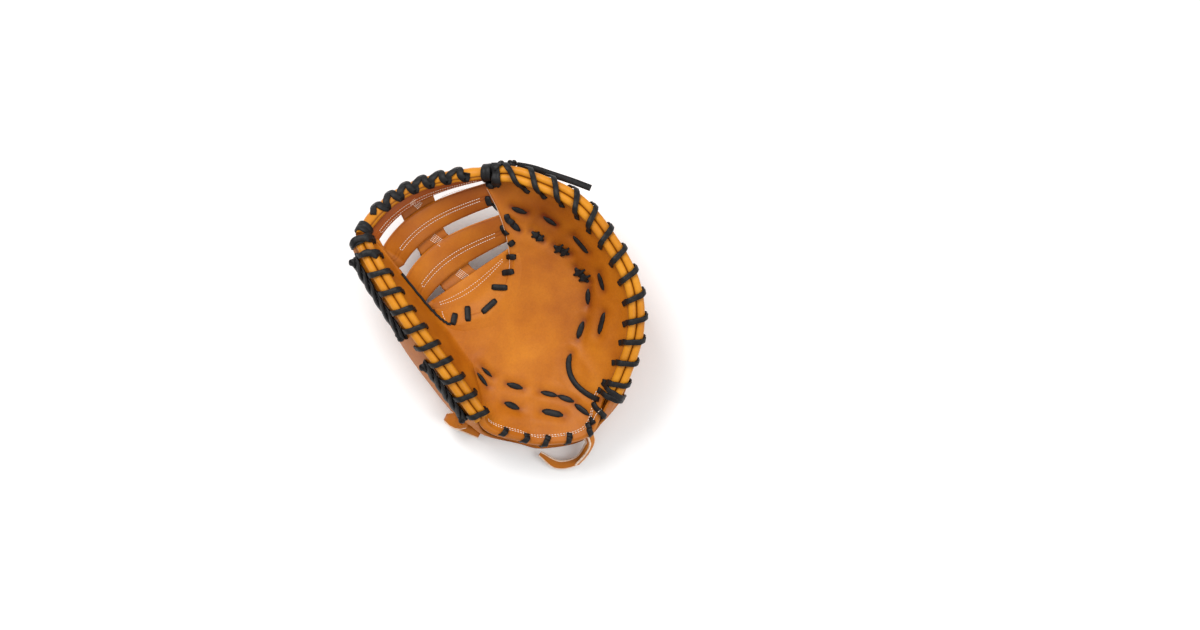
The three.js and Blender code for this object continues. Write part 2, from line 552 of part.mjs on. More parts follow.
// Whip lace: up the palm, over the binding or the bare edge, down the outside and through to the next turn.
const laceLift = LACE_THICK / 2 + GAP;
function whipLace(from, to, outside) {
  const stations = rimStations(from, to, LACE_PITCH);
  return stations.slice(0, -1).flatMap((station, i) => {
    const at = (share) => mix(station, stations[i + 1], share);
    const over = (share, x, y) => {
      const { at: middle, out, up } = rimFrame(at(share));
      const reach = (outside.edge ? RIM_PAD / 2 : BINDING_WIDTH / 2) + LACE_SLACK;
      const rise = (outside.edge ? 0 : BINDING_RISE) + LACE_SLACK;
      const face = out.clone().multiplyScalar(x).addScaledVector(up, y).normalize();
      middle.addScaledVector(out, x * (reach + laceLift)).addScaledVector(up, y * (rise + laceLift));
      return { at: middle, face };
    };
    const entry = downFrom(palmSurface, at(0), LACE_INSET, laceLift, 1);
    const inside = downFrom(palmSurface, at(-0.06), LACE_INSET + 3, RIM_PAD + laceLift, -1);
    const { down } = outside;
    return [
      { at: inside.at, face: rimOutward(at(0)).negate().setZ(-1) },
      entry,
      downFrom(palmSurface, at(0.08), 1.5, laceLift, 1),
      ...outside.over.map(([share, x, y]) => over(share, x, y)),
      ...down(at),
    ];
  });
}
const BOUND_RIM = {
  edge: false,
  over: [[0.15, -1.04, 0.3], [0.22, -0.6, 1.04], [0.36, 0.6, 1.04], [0.43, 1.04, 0.3]],
  down: (at) => [
    downFrom(backSurface, at(0.48), 1.5, laceLift, -1),
    downFrom(backSurface, at(0.54), LACE_INSET, laceLift, -1),
  ],
};
const BARE_RIM = {
  edge: true,
  over: [[0.14, -0.35, 0.85], [0.22, 0.5, 0.3], [0.32, 0.5, -3.2]],
  down: (at) => [downFrom(palmSurface, at(0.5), LACE_INSET, RIM_PAD + laceLift, -1)],
};

// Build
const TAN = new THREE.MeshStandardMaterial({ color: 0xc8701a, roughness: 0.55, metalness: 0 });
const TAN_LIGHT = new THREE.MeshStandardMaterial({ color: 0xd98a24, roughness: 0.5, metalness: 0 });
const TAN_DARK = new THREE.MeshStandardMaterial({ color: 0xb45c16, roughness: 0.6, metalness: 0 });
const BLACK_LACE = new THREE.MeshStandardMaterial({ color: 0x1c1a1a, roughness: 0.5, metalness: 0 });
const BLACK_LINING = new THREE.MeshStandardMaterial({ color: 0x141314, roughness: 0.9, metalness: 0 });
const mitt = new THREE.Group();
function add(name, geometry, material) {
  geometry.translate(-REST_X * MITT_WIDTH, -REST_Y * MITT_LENGTH, 0);
  const mesh = new THREE.Mesh(geometry, material);
  mesh.name = name;
  mitt.add(mesh);
}
function addSolid(name, solid, material, neighbours = []) {
  add(name, geometryOf(cut(solid, neighbours)), material);
}

// Shells, each with a copy grown by the gap to cut its neighbours with
const STEPS = 36;
const ALL_STATIONS = [0, LAST, STEPS];
const palmShell = (grow) => {
  const above = grid(palmSurface, () => grow, ALL_STATIONS, [0, 1, 8]);
  const below = grid(palmSurface, (_, s) => -palmThickness(s) - grow, ALL_STATIONS, [0, 1, 8]);
  return solidOf(slab(widened(above, grow), widened(below, grow)));
};
const backShell = (grow, from = 0, to = STEPS) => {
  const stations = [(from * LAST) / STEPS, (to * LAST) / STEPS, to - from];
  const above = grid(backSurface, () => BACK_WALL + grow, stations, [0, 1, 9]);
  const below = grid(backSurface, () => -grow, stations, [0, 1, 9]);
  return solidOf(slab(widened(above, grow), widened(below, grow)));
};
const palmGrown = palmShell(GAP);
const backGrown = backShell(GAP);
const backSheet = sheetOf(grid(backSurface, () => 0, ALL_STATIONS, [0, 1, 9]));

// Rim laces and the holes they need
const laceRuns = {
  finger_rim_lace: whipLace(9.7, 15.8, BOUND_RIM),
  thumb_rim_lace: whipLace(0.15, 4.3, BOUND_RIM),
  heel_lace: whipLace(5.3, 8.6, BARE_RIM),
};
const laceRoom = joined(Object.values(laceRuns).map((run) => lace(run, GAP)));

// Hand opening through the back
const oval = new THREE.Shape().absellipse(0, 0, OPENING_LENGTH / 2, OPENING_WIDTH / 2, 0, 2 * Math.PI);
const throughWall = { depth: RIM_HEIGHT / 4, bevelEnabled: false, curveSegments: 28 };
const openingCutter = new THREE.ExtrudeGeometry(oval, throughWall);
openingCutter.rotateZ(HAND_OPENING.turn);
openingCutter.translate(HAND_OPENING.x * MITT_WIDTH, HAND_OPENING.y * MITT_LENGTH, -RIM_HEIGHT / 16);
const fingerBound = [9.4, LAST];
const thumbBound = [0, 4.4];
const rimRoom = [laceRoom, binding(...fingerBound, GAP), binding(...thumbBound, GAP)];
addSolid("palm_shell", palmShell(0), TAN, rimRoom);
const backRoom = [...rimRoom, palmGrown, solidOf(openingCutter)];
const [thumbSeam, fingerSeam] = [11, 22];
const thumbBack = (grow) => backShell(grow, 0, thumbSeam);
const fingerBack = (grow) => backShell(grow, fingerSeam, STEPS);
addSolid("thumb_back", thumbBack(0), TAN, backRoom);
addSolid("finger_back", fingerBack(0), TAN, backRoom);
const wristBack = backShell(0, thumbSeam, fingerSeam);
addSolid("wrist_back", wristBack, TAN, [...backRoom, thumbBack(GAP), fingerBack(GAP)]);
addSolid("finger_binding", binding(...fingerBound, 0), TAN_LIGHT);
addSolid("thumb_binding", binding(...thumbBound, 0), TAN_LIGHT);
for (const [name, run] of Object.entries(laceRuns)) addSolid(name, lace(run), BLACK_LACE);

// Lining under the palm, where the hand goes
const linerLayer = (height) =>
  grid(palmSurface, (_, s) => -palmThickness(s) - 2 * GAP - height, [5.6, 10.5, 14], [0.12, 0.8, 6]);
const liner = solidOf(slab(linerLayer(0), linerLayer(LINER_THICK)));
addSolid("hand_liner", liner, BLACK_LINING, [laceRoom, backGrown, palmGrown]);

// Web bars and the roll along the top
const WEB_BARS = {
  web_base_bar: { low: 0, high: 1, rings: 4, material: TAN },
  web_lower_bar: { low: 2, high: 3, rings: 4, material: TAN },
  web_upper_bar: { low: 4, high: 5, rings: 4, material: TAN },
  web_top_band: { low: 6, high: 6.62, rings: 3, material: TAN_DARK },
};
function webBar({ low, high, rings }, grow) {
  const puff = (b) => (BAR_THICK / 2) * (0.6 + 0.4 * Math.sin((Math.PI * (b - low)) / (high - low)));
  const range = [-0.06, 1.06, 18];
  const above = grid(webSurface, (_, b) => puff(b) + grow, range, [low, high, rings]);
  const below = grid(webSurface, () => -BAR_THICK / 2 - grow, range, [low, high, rings]);
  return solidOf(slab(widened(above, grow), widened(below, grow)));
}
function rollFrame(a) {
  const at = webPoint(a, WEB_LAST);
  const along = webPoint(a + 0.01, WEB_LAST).sub(webPoint(a - 0.01, WEB_LAST)).normalize();
  const out = new THREE.Vector3(-along.y, along.x, 0).normalize();
  return { at, out, up: along.cross(out).normalize() };
}
function roll(grow) {
  const radius = ROLL_WIDTH / 2 + grow;
  const profile = Array.from({ length: 10 }, (_, i) =>
    [-radius * Math.cos((i * Math.PI) / 5), radius * Math.sin((i * Math.PI) / 5)]);
  return solidOf(sweep(Array.from({ length: 19 }, (_, i) => rollFrame(mix(0.01, 0.985, i / 18))), profile));
}
// A stop on the roll: turn is the angle from its top towards the outside.
function onRoll(a, turn) {
  const { at, out, up } = rollFrame(a);
  const face = out.multiplyScalar(Math.sin(turn)).addScaledVector(up, Math.cos(turn));
  return { at: at.addScaledVector(face, ROLL_WIDTH / 2 + laceLift + LACE_SLACK), face };
}
const topLace = Array.from({ length: 8 * TOP_LACE_TURNS + 1 }, (_, i) =>
  onRoll(mix(0.15, 0.83, i / (8 * TOP_LACE_TURNS)), 0.25 + 1.1 * Math.cos((i * Math.PI) / 4)));
const tipWrap = (from, to) =>
  Array.from({ length: 17 }, (_, i) => onRoll(mix(from, to, i / 16), mix(-2.4, 8.6, i / 16)));
const rollLaces = { finger_tip_wrap: tipWrap(0.9, 0.97), thumb_tip_wrap: tipWrap(0.03, 0.1) };
addSolid("web_top_lace", lace(topLace, 0, false), BLACK_LACE);
const rollRoom = joined(Object.values(rollLaces).map((run) => lace(run, GAP)));
const webRoom = [...rimRoom, palmGrown, backGrown];
addSolid("web_top_roll", roll(0), TAN_LIGHT, webRoom);
for (const [name, run] of Object.entries(rollLaces)) addSolid(name, lace(run), BLACK_LACE, webRoom);
const rollGrown = roll(GAP);
for (const [name, bar] of Object.entries(WEB_BARS))
  addSolid(name, webBar(bar, 0), bar.material, [...webRoom, rollGrown, rollRoom]);
const barsGrown = Object.values(WEB_BARS).map((bar) => webBar(bar, GAP));

// Post behind the bars, and the laces knotted behind it
const webSheet = sheetOf(grid(webSurface, () => -BAR_THICK / 2, [-0.06, 1.06, 18], [0, WEB_LAST, 28]));
const post = (grow) => drape(POST_ROWS, webSheet, 2 * GAP, POST_THICK, 12, 4, grow);
addSolid("web_post", post(0), TAN, [...webRoom, rollGrown, ...barsGrown]);
const postGrown = post(GAP);
function behindPost({ x, y }) {
  const { at } = meet(webSheet, x * MITT_WIDTH, y * MITT_LENGTH, -1);
  return at.setZ(at.z - POST_THICK - KNOT_WIDTH * 0.6);
}
for (const row of WEB_KNOTS) {
  const end = behindPost(row);
  const start = meet(backSheet, row.from_x * MITT_WIDTH, row.from_y * MITT_LENGTH, -1);
  start.at.addScaledVector(start.face, laceLift);
  const middle = start.at.clone().lerp(end, 0.5).setZ(end.z - 2);
  const path = new THREE.QuadraticBezierCurve3(start.at, middle, end);
  const stops = path.getPoints(8).map((at) => ({ at, face: new THREE.Vector3(0.3, 0, -1) }));
  const others = [knot(end, GAP), ...webRoom, postGrown, ...barsGrown];
  addSolid(`web_knot_${row.name}`, knot(end, 0), BLACK_LACE, [...webRoom, postGrown]);
  addSolid(`web_lace_${row.name}`, lace(stops), BLACK_LACE, others);
  addSolid(`web_tail_${row.name}`, tail(end, row.tail), BLACK_LACE);
}

// Knots at the finger tip and on the back of the fingers, the lace that feeds one, and their free ends
const onBack = (x, y) => {
  const { at, face } = meet(backSheet, x * MITT_WIDTH, y * MITT_LENGTH, -1);
  return { at: at.addScaledVector(face, laceLift), face };
};
const tipKnot = scaled(TIP_KNOT.x, TIP_KNOT.y, TIP_KNOT.z);
addSolid("finger_tip_knot", knot(tipKnot, 0), BLACK_LACE, webRoom);
addSolid("tip_tail", tail(tipKnot, TIP_TAIL_ROWS), BLACK_LACE, [...rimRoom, backGrown]);
const fingerKnot = scaled(FINGER_KNOT.x, FINGER_KNOT.y, FINGER_KNOT.z);
addSolid("finger_knot", knot(fingerKnot, 0), BLACK_LACE, [backGrown]);
const fingerStops = [0, 1 / 3, 2 / 3, 1].map((t) =>
  onBack(mix(FINGER_KNOT.from_x, FINGER_KNOT.to_x, t), mix(FINGER_KNOT.from_y, FINGER_KNOT.to_y, t)));
addSolid("finger_lace", lace(fingerStops, 0, false), BLACK_LACE, [backGrown, knot(fingerKnot, GAP)]);
addSolid("finger_tail", tail(fingerKnot, FINGER_TAIL_ROWS), BLACK_LACE, [backGrown]);

// Laces along the outside of the thumb
for (const { name, from, to } of THUMB_SIDE) {
  const stops = Array.from({ length: 8 }, (_, i) =>
    downFrom(backSurface, mix(from, to, i / 7), SIDE_LACE_DROP, laceLift, -1));
  addSolid(`thumb_side_lace_${name}`, lace(stops, 0, false), BLACK_LACE, [backGrown, laceRoom]);
}

// Wrist strap with its slots, the flap beside it and the tab that turns up at the thumb
const slots = [[0.35, 1.7], [2.25, 3.5]].map(([from, to]) => {
  const line = Array.from({ length: 5 }, (_, i) => rowAt(STRAP_ROWS, mix(from, to, i / 4)));
  const side = (up) =>
    line.map((r) => new THREE.Vector2(r.slot_x * MITT_WIDTH, r.slot_y * MITT_LENGTH + up));
  const shape = new THREE.Shape([...side(-SLOT_WIDTH / 2), ...side(SLOT_WIDTH / 2).reverse()]);
  return solidOf(new THREE.ExtrudeGeometry(shape, throughWall).translate(0, 0, -RIM_HEIGHT / 16));
});
const strap = (grow) => drape(STRAP_ROWS, backSheet, 2 * GAP, STRAP_THICK, 16, 4, grow);
addSolid("wrist_strap", strap(0), TAN, [backGrown, ...slots]);
const flap = drape(FLAP_ROWS, backSheet, GAP, STRAP_THICK, 6, 3, 0);
addSolid("little_flap", flap, TAN, [backGrown, laceRoom, strap(GAP)]);
function standing(rows, count, face) {
  const curve = new THREE.CatmullRomCurve3(rows.map((r) => scaled(r.x, r.y, r.z)));
  return curve.getPoints(count).map((at) => ({ at, face }));
}
const shellRoom = [backGrown, palmGrown, laceRoom];
const tabStops = standing(TAB_ROWS, 8, new THREE.Vector3(-0.6, -0.5, -0.6));
addSolid("strap_tab", strip(tabStops, TAB_WIDTH, STRAP_THICK), TAN, [...shellRoom, strap(2 * GAP)]);
const loopStops = standing(HEEL_STRAP_ROWS, 14, new THREE.Vector3(0.15, -0.35, 1));
addSolid("heel_strap", strip(loopStops, HEEL_STRAP_WIDTH, STRAP_THICK), TAN, shellRoom);

export default mitt;
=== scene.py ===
import math
import random

import bpy
import numpy as np
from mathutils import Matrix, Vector
from mathutils.bvhtree import BVHTree


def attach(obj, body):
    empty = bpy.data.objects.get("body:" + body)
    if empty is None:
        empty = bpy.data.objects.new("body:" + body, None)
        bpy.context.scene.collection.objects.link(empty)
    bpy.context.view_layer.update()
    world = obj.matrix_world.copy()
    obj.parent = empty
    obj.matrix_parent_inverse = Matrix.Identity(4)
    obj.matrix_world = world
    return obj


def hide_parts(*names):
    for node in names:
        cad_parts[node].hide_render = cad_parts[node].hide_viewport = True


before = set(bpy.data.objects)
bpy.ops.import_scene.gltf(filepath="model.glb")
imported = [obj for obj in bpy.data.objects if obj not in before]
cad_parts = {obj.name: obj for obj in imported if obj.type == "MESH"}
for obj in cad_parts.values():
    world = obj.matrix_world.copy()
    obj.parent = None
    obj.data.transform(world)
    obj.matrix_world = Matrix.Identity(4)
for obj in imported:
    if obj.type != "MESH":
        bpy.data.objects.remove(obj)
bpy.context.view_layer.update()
random.seed(7)

# Driving sizes in millimetres, in the sewing frame: X to the little finger, Y to the finger tips, Z out of the palm
WIDTH, LENGTH, HEIGHT = 300.0, 300.0, 116.0
GAP, RIM_PAD, PALM_PAD, EDGE_LEATHER, BACK_WALL = 0.35, 8.0, 12.0, 4.0, 3.0
BINDING_WIDTH, BINDING_RISE = 17.0, 4.6
LACE_WIDTH, LACE_THICK, LACE_PITCH, LACE_INSET, LACE_SLACK, KNOT_WIDTH = 6.0, 2.4, 23.0, 6.5, 0.9, 12.0
BAR_THICK, POST_THICK, ROLL_WIDTH, TOP_LACE_TURNS = 4.0, 3.5, 13.0, 6
OPENING_LENGTH, OPENING_WIDTH, OPENING_X, OPENING_Y, OPENING_TURN = 94.0, 36.0, 0.123, -0.243, 0.1
STRAP_THICK, HEEL_STRAP_WIDTH, TAB_WIDTH = 3.0, 9.0, 18.0
ORIGIN = np.array([0.263 * WIDTH, 0.08 * LENGTH, 0.0])
WALL_POWER = 1.7


def table(columns, rows):
    return {name: np.array([row[i] for row in rows], float) for i, name in enumerate(columns.split())}


PALM = table("rim_x rim_y rim_z edge_x edge_y edge_z wall cover", [
    [-0.496, 0.227, 0.862, -0.44, 0.216, 0.759, 1.0, 1],
    [-0.43, 0.107, 0.922, -0.378, 0.135, 0.655, 1.0, 1],
    [-0.324, -0.061, 0.914, -0.266, -0.003, 0.5, 1.0, 1],
    [-0.208, -0.215, 0.81, -0.205, -0.059, 0.422, 0.85, 1],
    [-0.105, -0.361, 0.681, -0.166, -0.057, 0.414, 0.6, 1],
    [-0.05, -0.425, 0.621, -0.144, -0.048, 0.409, 0.5, 0],
    [0.055, -0.463, 0.552, -0.118, -0.036, 0.405, 0.45, 0],
    [0.142, -0.481, 0.534, -0.095, -0.028, 0.401, 0.45, 0],
    [0.29, -0.448, 0.569, -0.066, -0.018, 0.397, 0.42, 0],
    [0.362, -0.338, 0.655, -0.042, 0.003, 0.397, 0.42, 1],
    [0.413, -0.229, 0.759, -0.023, 0.028, 0.405, 0.42, 1],
    [0.453, -0.083, 0.871, -0.005, 0.057, 0.414, 0.42, 1],
    [0.439, 0.07, 0.948, 0.01, 0.095, 0.431, 0.42, 1],
    [0.358, 0.224, 0.991, 0.022, 0.147, 0.466, 0.5, 1],
    [0.238, 0.362, 0.991, 0.012, 0.232, 0.552, 0.65, 1],
    [0.062, 0.443, 0.914, -0.019, 0.33, 0.672, 1.0, 1],
    [-0.036, 0.453, 0.862, -0.06, 0.408, 0.759, 1.0, 1],
])
BACK = table("shift_x shift_y drop edge_x edge_y edge_z bulge side_z belly_z", [
    [0, 0, 0, -0.443, 0.2, 0.62, 0.05, 0.7, 0.5],
    [0, 0, 0, -0.382, 0.12, 0.53, 0.09, 0.5, 0.26],
    [0, 0, 0, -0.276, -0.03, 0.38, 0.13, 0.14, -0.08],
    [0, 0, 0, -0.222, -0.105, 0.31, 0.16, -0.1, -0.3],
    [0, 0, 0.04, -0.194, -0.112, 0.305, 0.13, -0.1, -0.24],
    [-0.016, -0.02, 0.4, -0.172, -0.11, 0.3, 0.05, 0.05, 0.0],
    [0, -0.02, 0.42, -0.148, -0.104, 0.3, 0, 0.03, -0.01],
    [0, -0.018, 0.41, -0.122, -0.092, 0.3, 0, 0.03, -0.02],
    [0, -0.014, 0.42, -0.09, -0.07, 0.3, 0.01, 0.04, -0.06],
    [0.01, 0, 0.2, -0.058, -0.042, 0.3, 0.02, 0.04, -0.2],
    [0, 0, 0, -0.028, -0.006, 0.3, 0.025, 0.05, -0.3],
    [0, 0, 0, 0.01, 0.026, 0.31, 0.025, 0.02, -0.32],
    [0, 0, 0, 0.045, 0.068, 0.32, 0.02, -0.06, -0.32],
    [0, 0, 0, 0.078, 0.14, 0.35, 0.02, -0.1, -0.32],
    [0, 0, 0, 0.075, 0.24, 0.42, 0.018, 0.14, -0.1],
    [0, 0, 0, 0.035, 0.32, 0.52, 0.016, 0.48, 0.32],
    [0, 0, 0, -0.03, 0.395, 0.6, 0.014, 0.6, 0.5],
])
WEB = table("thumb_x thumb_y thumb_z finger_x finger_y finger_z arch sag", [
    [-0.253, -0.02, 0.41, 0.027, 0.167, 0.4, -0.085, 0.06],
    [-0.258, 0.012, 0.44, 0.005, 0.191, 0.44, 0, 0.09],
    [-0.28, 0.012, 0.45, 0.005, 0.224, 0.475, 0.026, 0.12],
    [-0.342, 0.092, 0.55, -0.017, 0.311, 0.58, 0.044, 0.16],
    [-0.353, 0.143, 0.575, -0.045, 0.348, 0.62, 0.036, 0.18],
    [-0.422, 0.194, 0.66, -0.06, 0.422, 0.69, 0.05, 0.21],
    [-0.441, 0.22, 0.69, -0.066, 0.439, 0.71, 0.052, 0.2],
    [-0.497, 0.232, 0.85, -0.04, 0.46, 0.85, 0.08, 0.2],
])
POST = table("near_x near_y far_x far_y", [
    [-0.258, 0.391, -0.364, 0.333],
    [-0.218, 0.265, -0.298, 0.196],
    [-0.182, 0.225, -0.265, 0.155],
    [-0.134, 0.144, -0.222, 0.071],
    [-0.101, 0.115, -0.205, 0.05],
    [-0.065, 0.07, -0.235, 0.01],
    [-0.045, 0.045, -0.235, -0.02],
])
HEEL_STRAP = table("x y z", [
    [0.275, -0.375, 0.21], [0.298, -0.49, 0.135], [0.262, -0.55, 0.08], [0.19, -0.568, 0.06], [0.125, -0.528, 0.09],
])
STRAP = table("near_x near_y far_x far_y slot_x slot_y", [
    [0.249, -0.383, 0.2, -0.475, 0.225, -0.44],
    [0.15, -0.368, 0.125, -0.478, 0.14, -0.428],
    [0.048, -0.358, 0.045, -0.468, 0.048, -0.416],
    [-0.03, -0.343, -0.03, -0.44, -0.03, -0.392],
    [-0.1, -0.32, -0.075, -0.405, -0.09, -0.36],
])
FLAP = table("near_x near_y far_x far_y", [
    [0.262, -0.27, 0.318, -0.3], [0.235, -0.31, 0.29, -0.345], [0.2, -0.35, 0.24, -0.372],
])
TIP_TAIL = table("x y z", [
    [0.025, 0.487, 0.8], [0.095, 0.475, 0.77], [0.163, 0.453, 0.77], [0.232, 0.43, 0.78], [0.298, 0.405, 0.79],
])
WEB_TAIL_UPPER = table("x y z", [
    [-0.257, 0.1, 0.228], [-0.27, 0.07, 0.155], [-0.283, 0.04, 0.07], [-0.3, 0, 0.019],
    [-0.322, -0.045, 0.0145], [-0.335, -0.071, 0.0145],
])
WEB_TAIL_LOWER = table("x y z", [
    [-0.185, 0.001, 0.216], [-0.188, -0.028, 0.145], [-0.19, -0.058, 0.07], [-0.187, -0.095, 0.019],
    [-0.18, -0.13, 0.018], [-0.173, -0.156, 0.018],
])
FINGER_TAIL = table("x y z", [
    [0.155, 0.22, 0.048], [0.12, 0.18, 0.02], [0.09, 0.147, 0.0145], [0.067, 0.11, 0.0145],
    [0.05, 0.067, 0.0145], [0.045, -0.03, 0.0145],
])
LAST = 16.0
WEB_LAST = 7.0


# Vectors
def unit(v):
    return v / np.maximum(np.linalg.norm(v, axis=-1, keepdims=True), 1e-9)


def col(values):
    return np.asarray(values, float)[..., None]


def smooth(t):
    return t * t * (3 - 2 * t)


def heading(points):
    """The unit way along a line at each of its points."""
    return unit(np.gradient(points, axis=0))


def run_along(points):
    """The length from a line's start to each of its points."""
    return np.concatenate([[0], np.cumsum(np.linalg.norm(np.diff(points, axis=0), axis=-1))])


def bell(distance, width):
    return np.exp(-((distance / width) ** 2))

def rows_at(tab, station):
    """The table's columns at stations between its rows, by Catmull-Rom."""
    station = np.asarray(station, float)
    count = len(next(iter(tab.values())))
    i = np.clip(np.floor(station).astype(int), 0, count - 2)
    t = station - i
    out = {}
    for name, values in tab.items():
        a, b, c, d = (values[np.clip(i + k, 0, count - 1)] for k in (-1, 0, 1, 2))
        out[name] = 0.5 * (2 * b + (c - a) * t + (2 * a - 5 * b + 4 * c - d) * t**2 + (3 * b - a - 3 * c + d) * t**3)
    return out


def scaled(x, y, z):
    return np.stack([np.asarray(x) * WIDTH, np.asarray(y) * LENGTH, np.asarray(z) * HEIGHT], -1)


# Surfaces
def rim_point(u):
    r = rows_at(PALM, u)
    return scaled(r["rim_x"], r["rim_y"], r["rim_z"])


def rim_along(u):
    u = np.asarray(u, float)
    return unit(rim_point(np.minimum(u + 0.05, LAST)) - rim_point(np.maximum(u - 0.05, 0)))


def rim_outward(u):
    a = rim_along(u)
    return unit(np.stack([a[..., 1], -a[..., 0], np.zeros_like(a[..., 0])], -1))


def palm_point(u, s):
    r = rows_at(PALM, u)
    rim = scaled(r["rim_x"], r["rim_y"], r["rim_z"])
    edge = scaled(r["edge_x"], r["edge_y"], r["edge_z"])
    start = rim - rim_outward(u) * col(r["cover"] * BINDING_WIDTH / 2)
    climb = np.maximum(0, 1 - s / np.minimum(r["wall"], 1)) ** WALL_POWER
    p = start + (edge - start) * col(s)
    top = rim[..., 2] - (BINDING_RISE + 2 * GAP) * r["cover"]
    p[..., 2] = edge[..., 2] + (top - edge[..., 2]) * climb
    return p


def palm_thickness(s):
    outer = RIM_PAD + (PALM_PAD - RIM_PAD) * smooth(np.clip(s * 2, 0, 1))
    inner = PALM_PAD + (EDGE_LEATHER - PALM_PAD) * smooth(np.clip(s * 2 - 1, 0, 1))
    return np.where(s < 0.5, outer, inner)


def back_point(u, t):
    r = rows_at(BACK, u)
    cover = rows_at(PALM, u)["cover"]
    out = rim_outward(u)
    start = rim_point(u) + out * col(np.maximum(cover * BINDING_WIDTH / 2, GAP + BACK_WALL))
    start = start + scaled(r["shift_x"], r["shift_y"], -np.maximum(r["drop"], 0))
    start[..., 2] -= BINDING_RISE + 2 * GAP
    edge = scaled(r["edge_x"], r["edge_y"], r["edge_z"])
    inward = edge - start
    inward[..., 2] = 0
    side = start + out * col(r["bulge"] * WIDTH)
    side[..., 2] = r["side_z"] * HEIGHT
    belly = start + inward * 0.6
    belly[..., 2] = r["belly_z"] * HEIGHT
    t = col(t)
    p = start * (1 - t) ** 3 + side * 3 * t * (1 - t) ** 2 + belly * 3 * t**2 * (1 - t) + edge * t**3
    p[..., 2] = np.maximum(p[..., 2], 0)
    return p


def web_point(a, b):
    a, b = np.broadcast_arrays(np.asarray(a, float), np.asarray(b, float))
    r = rows_at(WEB, b)
    thumb = scaled(r["thumb_x"], r["thumb_y"], r["thumb_z"])
    finger = scaled(r["finger_x"], r["finger_y"], r["finger_z"])
    across = finger - thumb
    across[..., 2] = 0
    across = unit(across)
    bow = np.sin(np.pi * np.clip(a, 0, 1) ** 0.8)
    side = np.stack([-across[..., 1], across[..., 0], np.zeros_like(bow)], -1)
    p = thumb + (finger - thumb) * col(a) + side * col(bow * r["arch"] * LENGTH)
    p[..., 2] -= bow * r["sag"] * HEIGHT
    return p


def inside(fn, last):
    return lambda u, v: fn(np.clip(u, 0, last), np.clip(v, 0, 1))


palm_surface = inside(palm_point, LAST)
back_surface = inside(back_point, LAST)


def web_surface(a, b):
    return web_point(a, np.clip(b, 0, WEB_LAST))


def normal_of(fn, u, v, e=0.02):
    u, v = np.broadcast_arrays(np.asarray(u, float), np.asarray(v, float))
    return unit(np.cross(fn(u + e, v) - fn(u - e, v), fn(u, v + e) - fn(u, v - e)))


# Materials, all procedural on object coordinates in metres
def node(nodes, kind, **values):
    made = nodes.new("ShaderNode" + kind)
    for name, value in values.items():
        made.inputs[name.replace("_", " ")].default_value = value
    return made


def principled(name, rough, spec):
    mat = bpy.data.materials.new(name)
    mat.use_nodes = True
    nodes, links = mat.node_tree.nodes, mat.node_tree.links
    bsdf = nodes["Principled BSDF"]
    bsdf.inputs["Roughness"].default_value = rough
    bsdf.inputs["Specular IOR Level"].default_value = spec
    return mat, nodes, links, bsdf, node(nodes, "TexCoord")


def noise(nodes, links, coords, scale, detail, rough=0.55):
    tex = node(nodes, "TexNoise", Scale=scale, Detail=detail, Roughness=rough)
    links.new(coords.outputs["Object"], tex.inputs["Vector"])
    return tex.outputs["Fac"]


def ramp(nodes, links, source, stops):
    r = node(nodes, "ValToRGB")
    for element, (place, colour) in zip(r.color_ramp.elements, stops):
        element.position = place
        element.color = (*colour, 1)
    for place, colour in stops[2:]:
        r.color_ramp.elements.new(place).color = (*colour, 1)
    links.new(source, r.inputs["Fac"])
    return r.outputs["Color"]


def mix_colour(nodes, links, kind, factor, a, b):
    m = node(nodes, "Mix")
    m.data_type = "RGBA"
    m.blend_type = kind
    for socket, value in ((m.inputs["Factor"], factor), (m.inputs[6], a), (m.inputs[7], b)):
        if isinstance(value, (float, tuple)):
            socket.default_value = (*value, 1) if isinstance(value, tuple) else value
        else:
            links.new(value, socket)
    return m.outputs[2]


def bumped(nodes, links, bsdf, height, strength, distance):
    bump = node(nodes, "Bump", Strength=strength, Distance=distance)
    links.new(height, bump.inputs["Height"])
    links.new(bump.outputs["Normal"], bsdf.inputs["Normal"])


def leather(name, dark, base, light, rough):
    """Smooth tanned leather: mottled colour and fine pebble grain, mixed towards a darker colour by the script's shade
    attribute, which is painted shade in creases, dents, seams, grooves and joins and on steep walls, together with
    some of the leather's own redder colour.
    """
    mat, nodes, links, bsdf, coords = principled(name, rough, 0.24)
    cloud = noise(nodes, links, coords, 22, 5)
    tone = ramp(nodes, links, cloud, [(0.3, dark), (0.52, base), (0.74, light)])
    speck = ramp(nodes, links, noise(nodes, links, coords, 420, 3), [(0.3, (0.8, 0.8, 0.8)), (0.6, (1, 1, 1))])
    toned = mix_colour(nodes, links, "MULTIPLY", 0.35, tone, speck)
    shade = node(nodes, "VertexColor")
    shade.layer_name = "shade"
    separate = node(nodes, "SeparateColor")
    links.new(shade.outputs["Color"], separate.inputs["Color"])
    creased = mix_colour(nodes, links, "MIX", separate.outputs["Red"], toned, TAN_PAINTED_SHADE_AND_TONE)
    links.new(creased, bsdf.inputs["Base Color"])
    pores = node(nodes, "TexVoronoi", Scale=950)
    links.new(coords.outputs["Object"], pores.inputs["Vector"])
    height = node(nodes, "Math")
    height.operation = "MULTIPLY_ADD"
    links.new(pores.outputs["Distance"], height.inputs[0])
    height.inputs[1].default_value = 0.45
    links.new(noise(nodes, links, coords, 150, 6, 0.62), height.inputs[2])
    bumped(nodes, links, bsdf, height.outputs[0], 0.32, 0.0007)
    gloss = node(nodes, "MapRange", To_Min=rough - 0.09, To_Max=rough + 0.12)
    links.new(cloud, gloss.inputs["Value"])
    links.new(gloss.outputs["Result"], bsdf.inputs["Roughness"])
    return mat


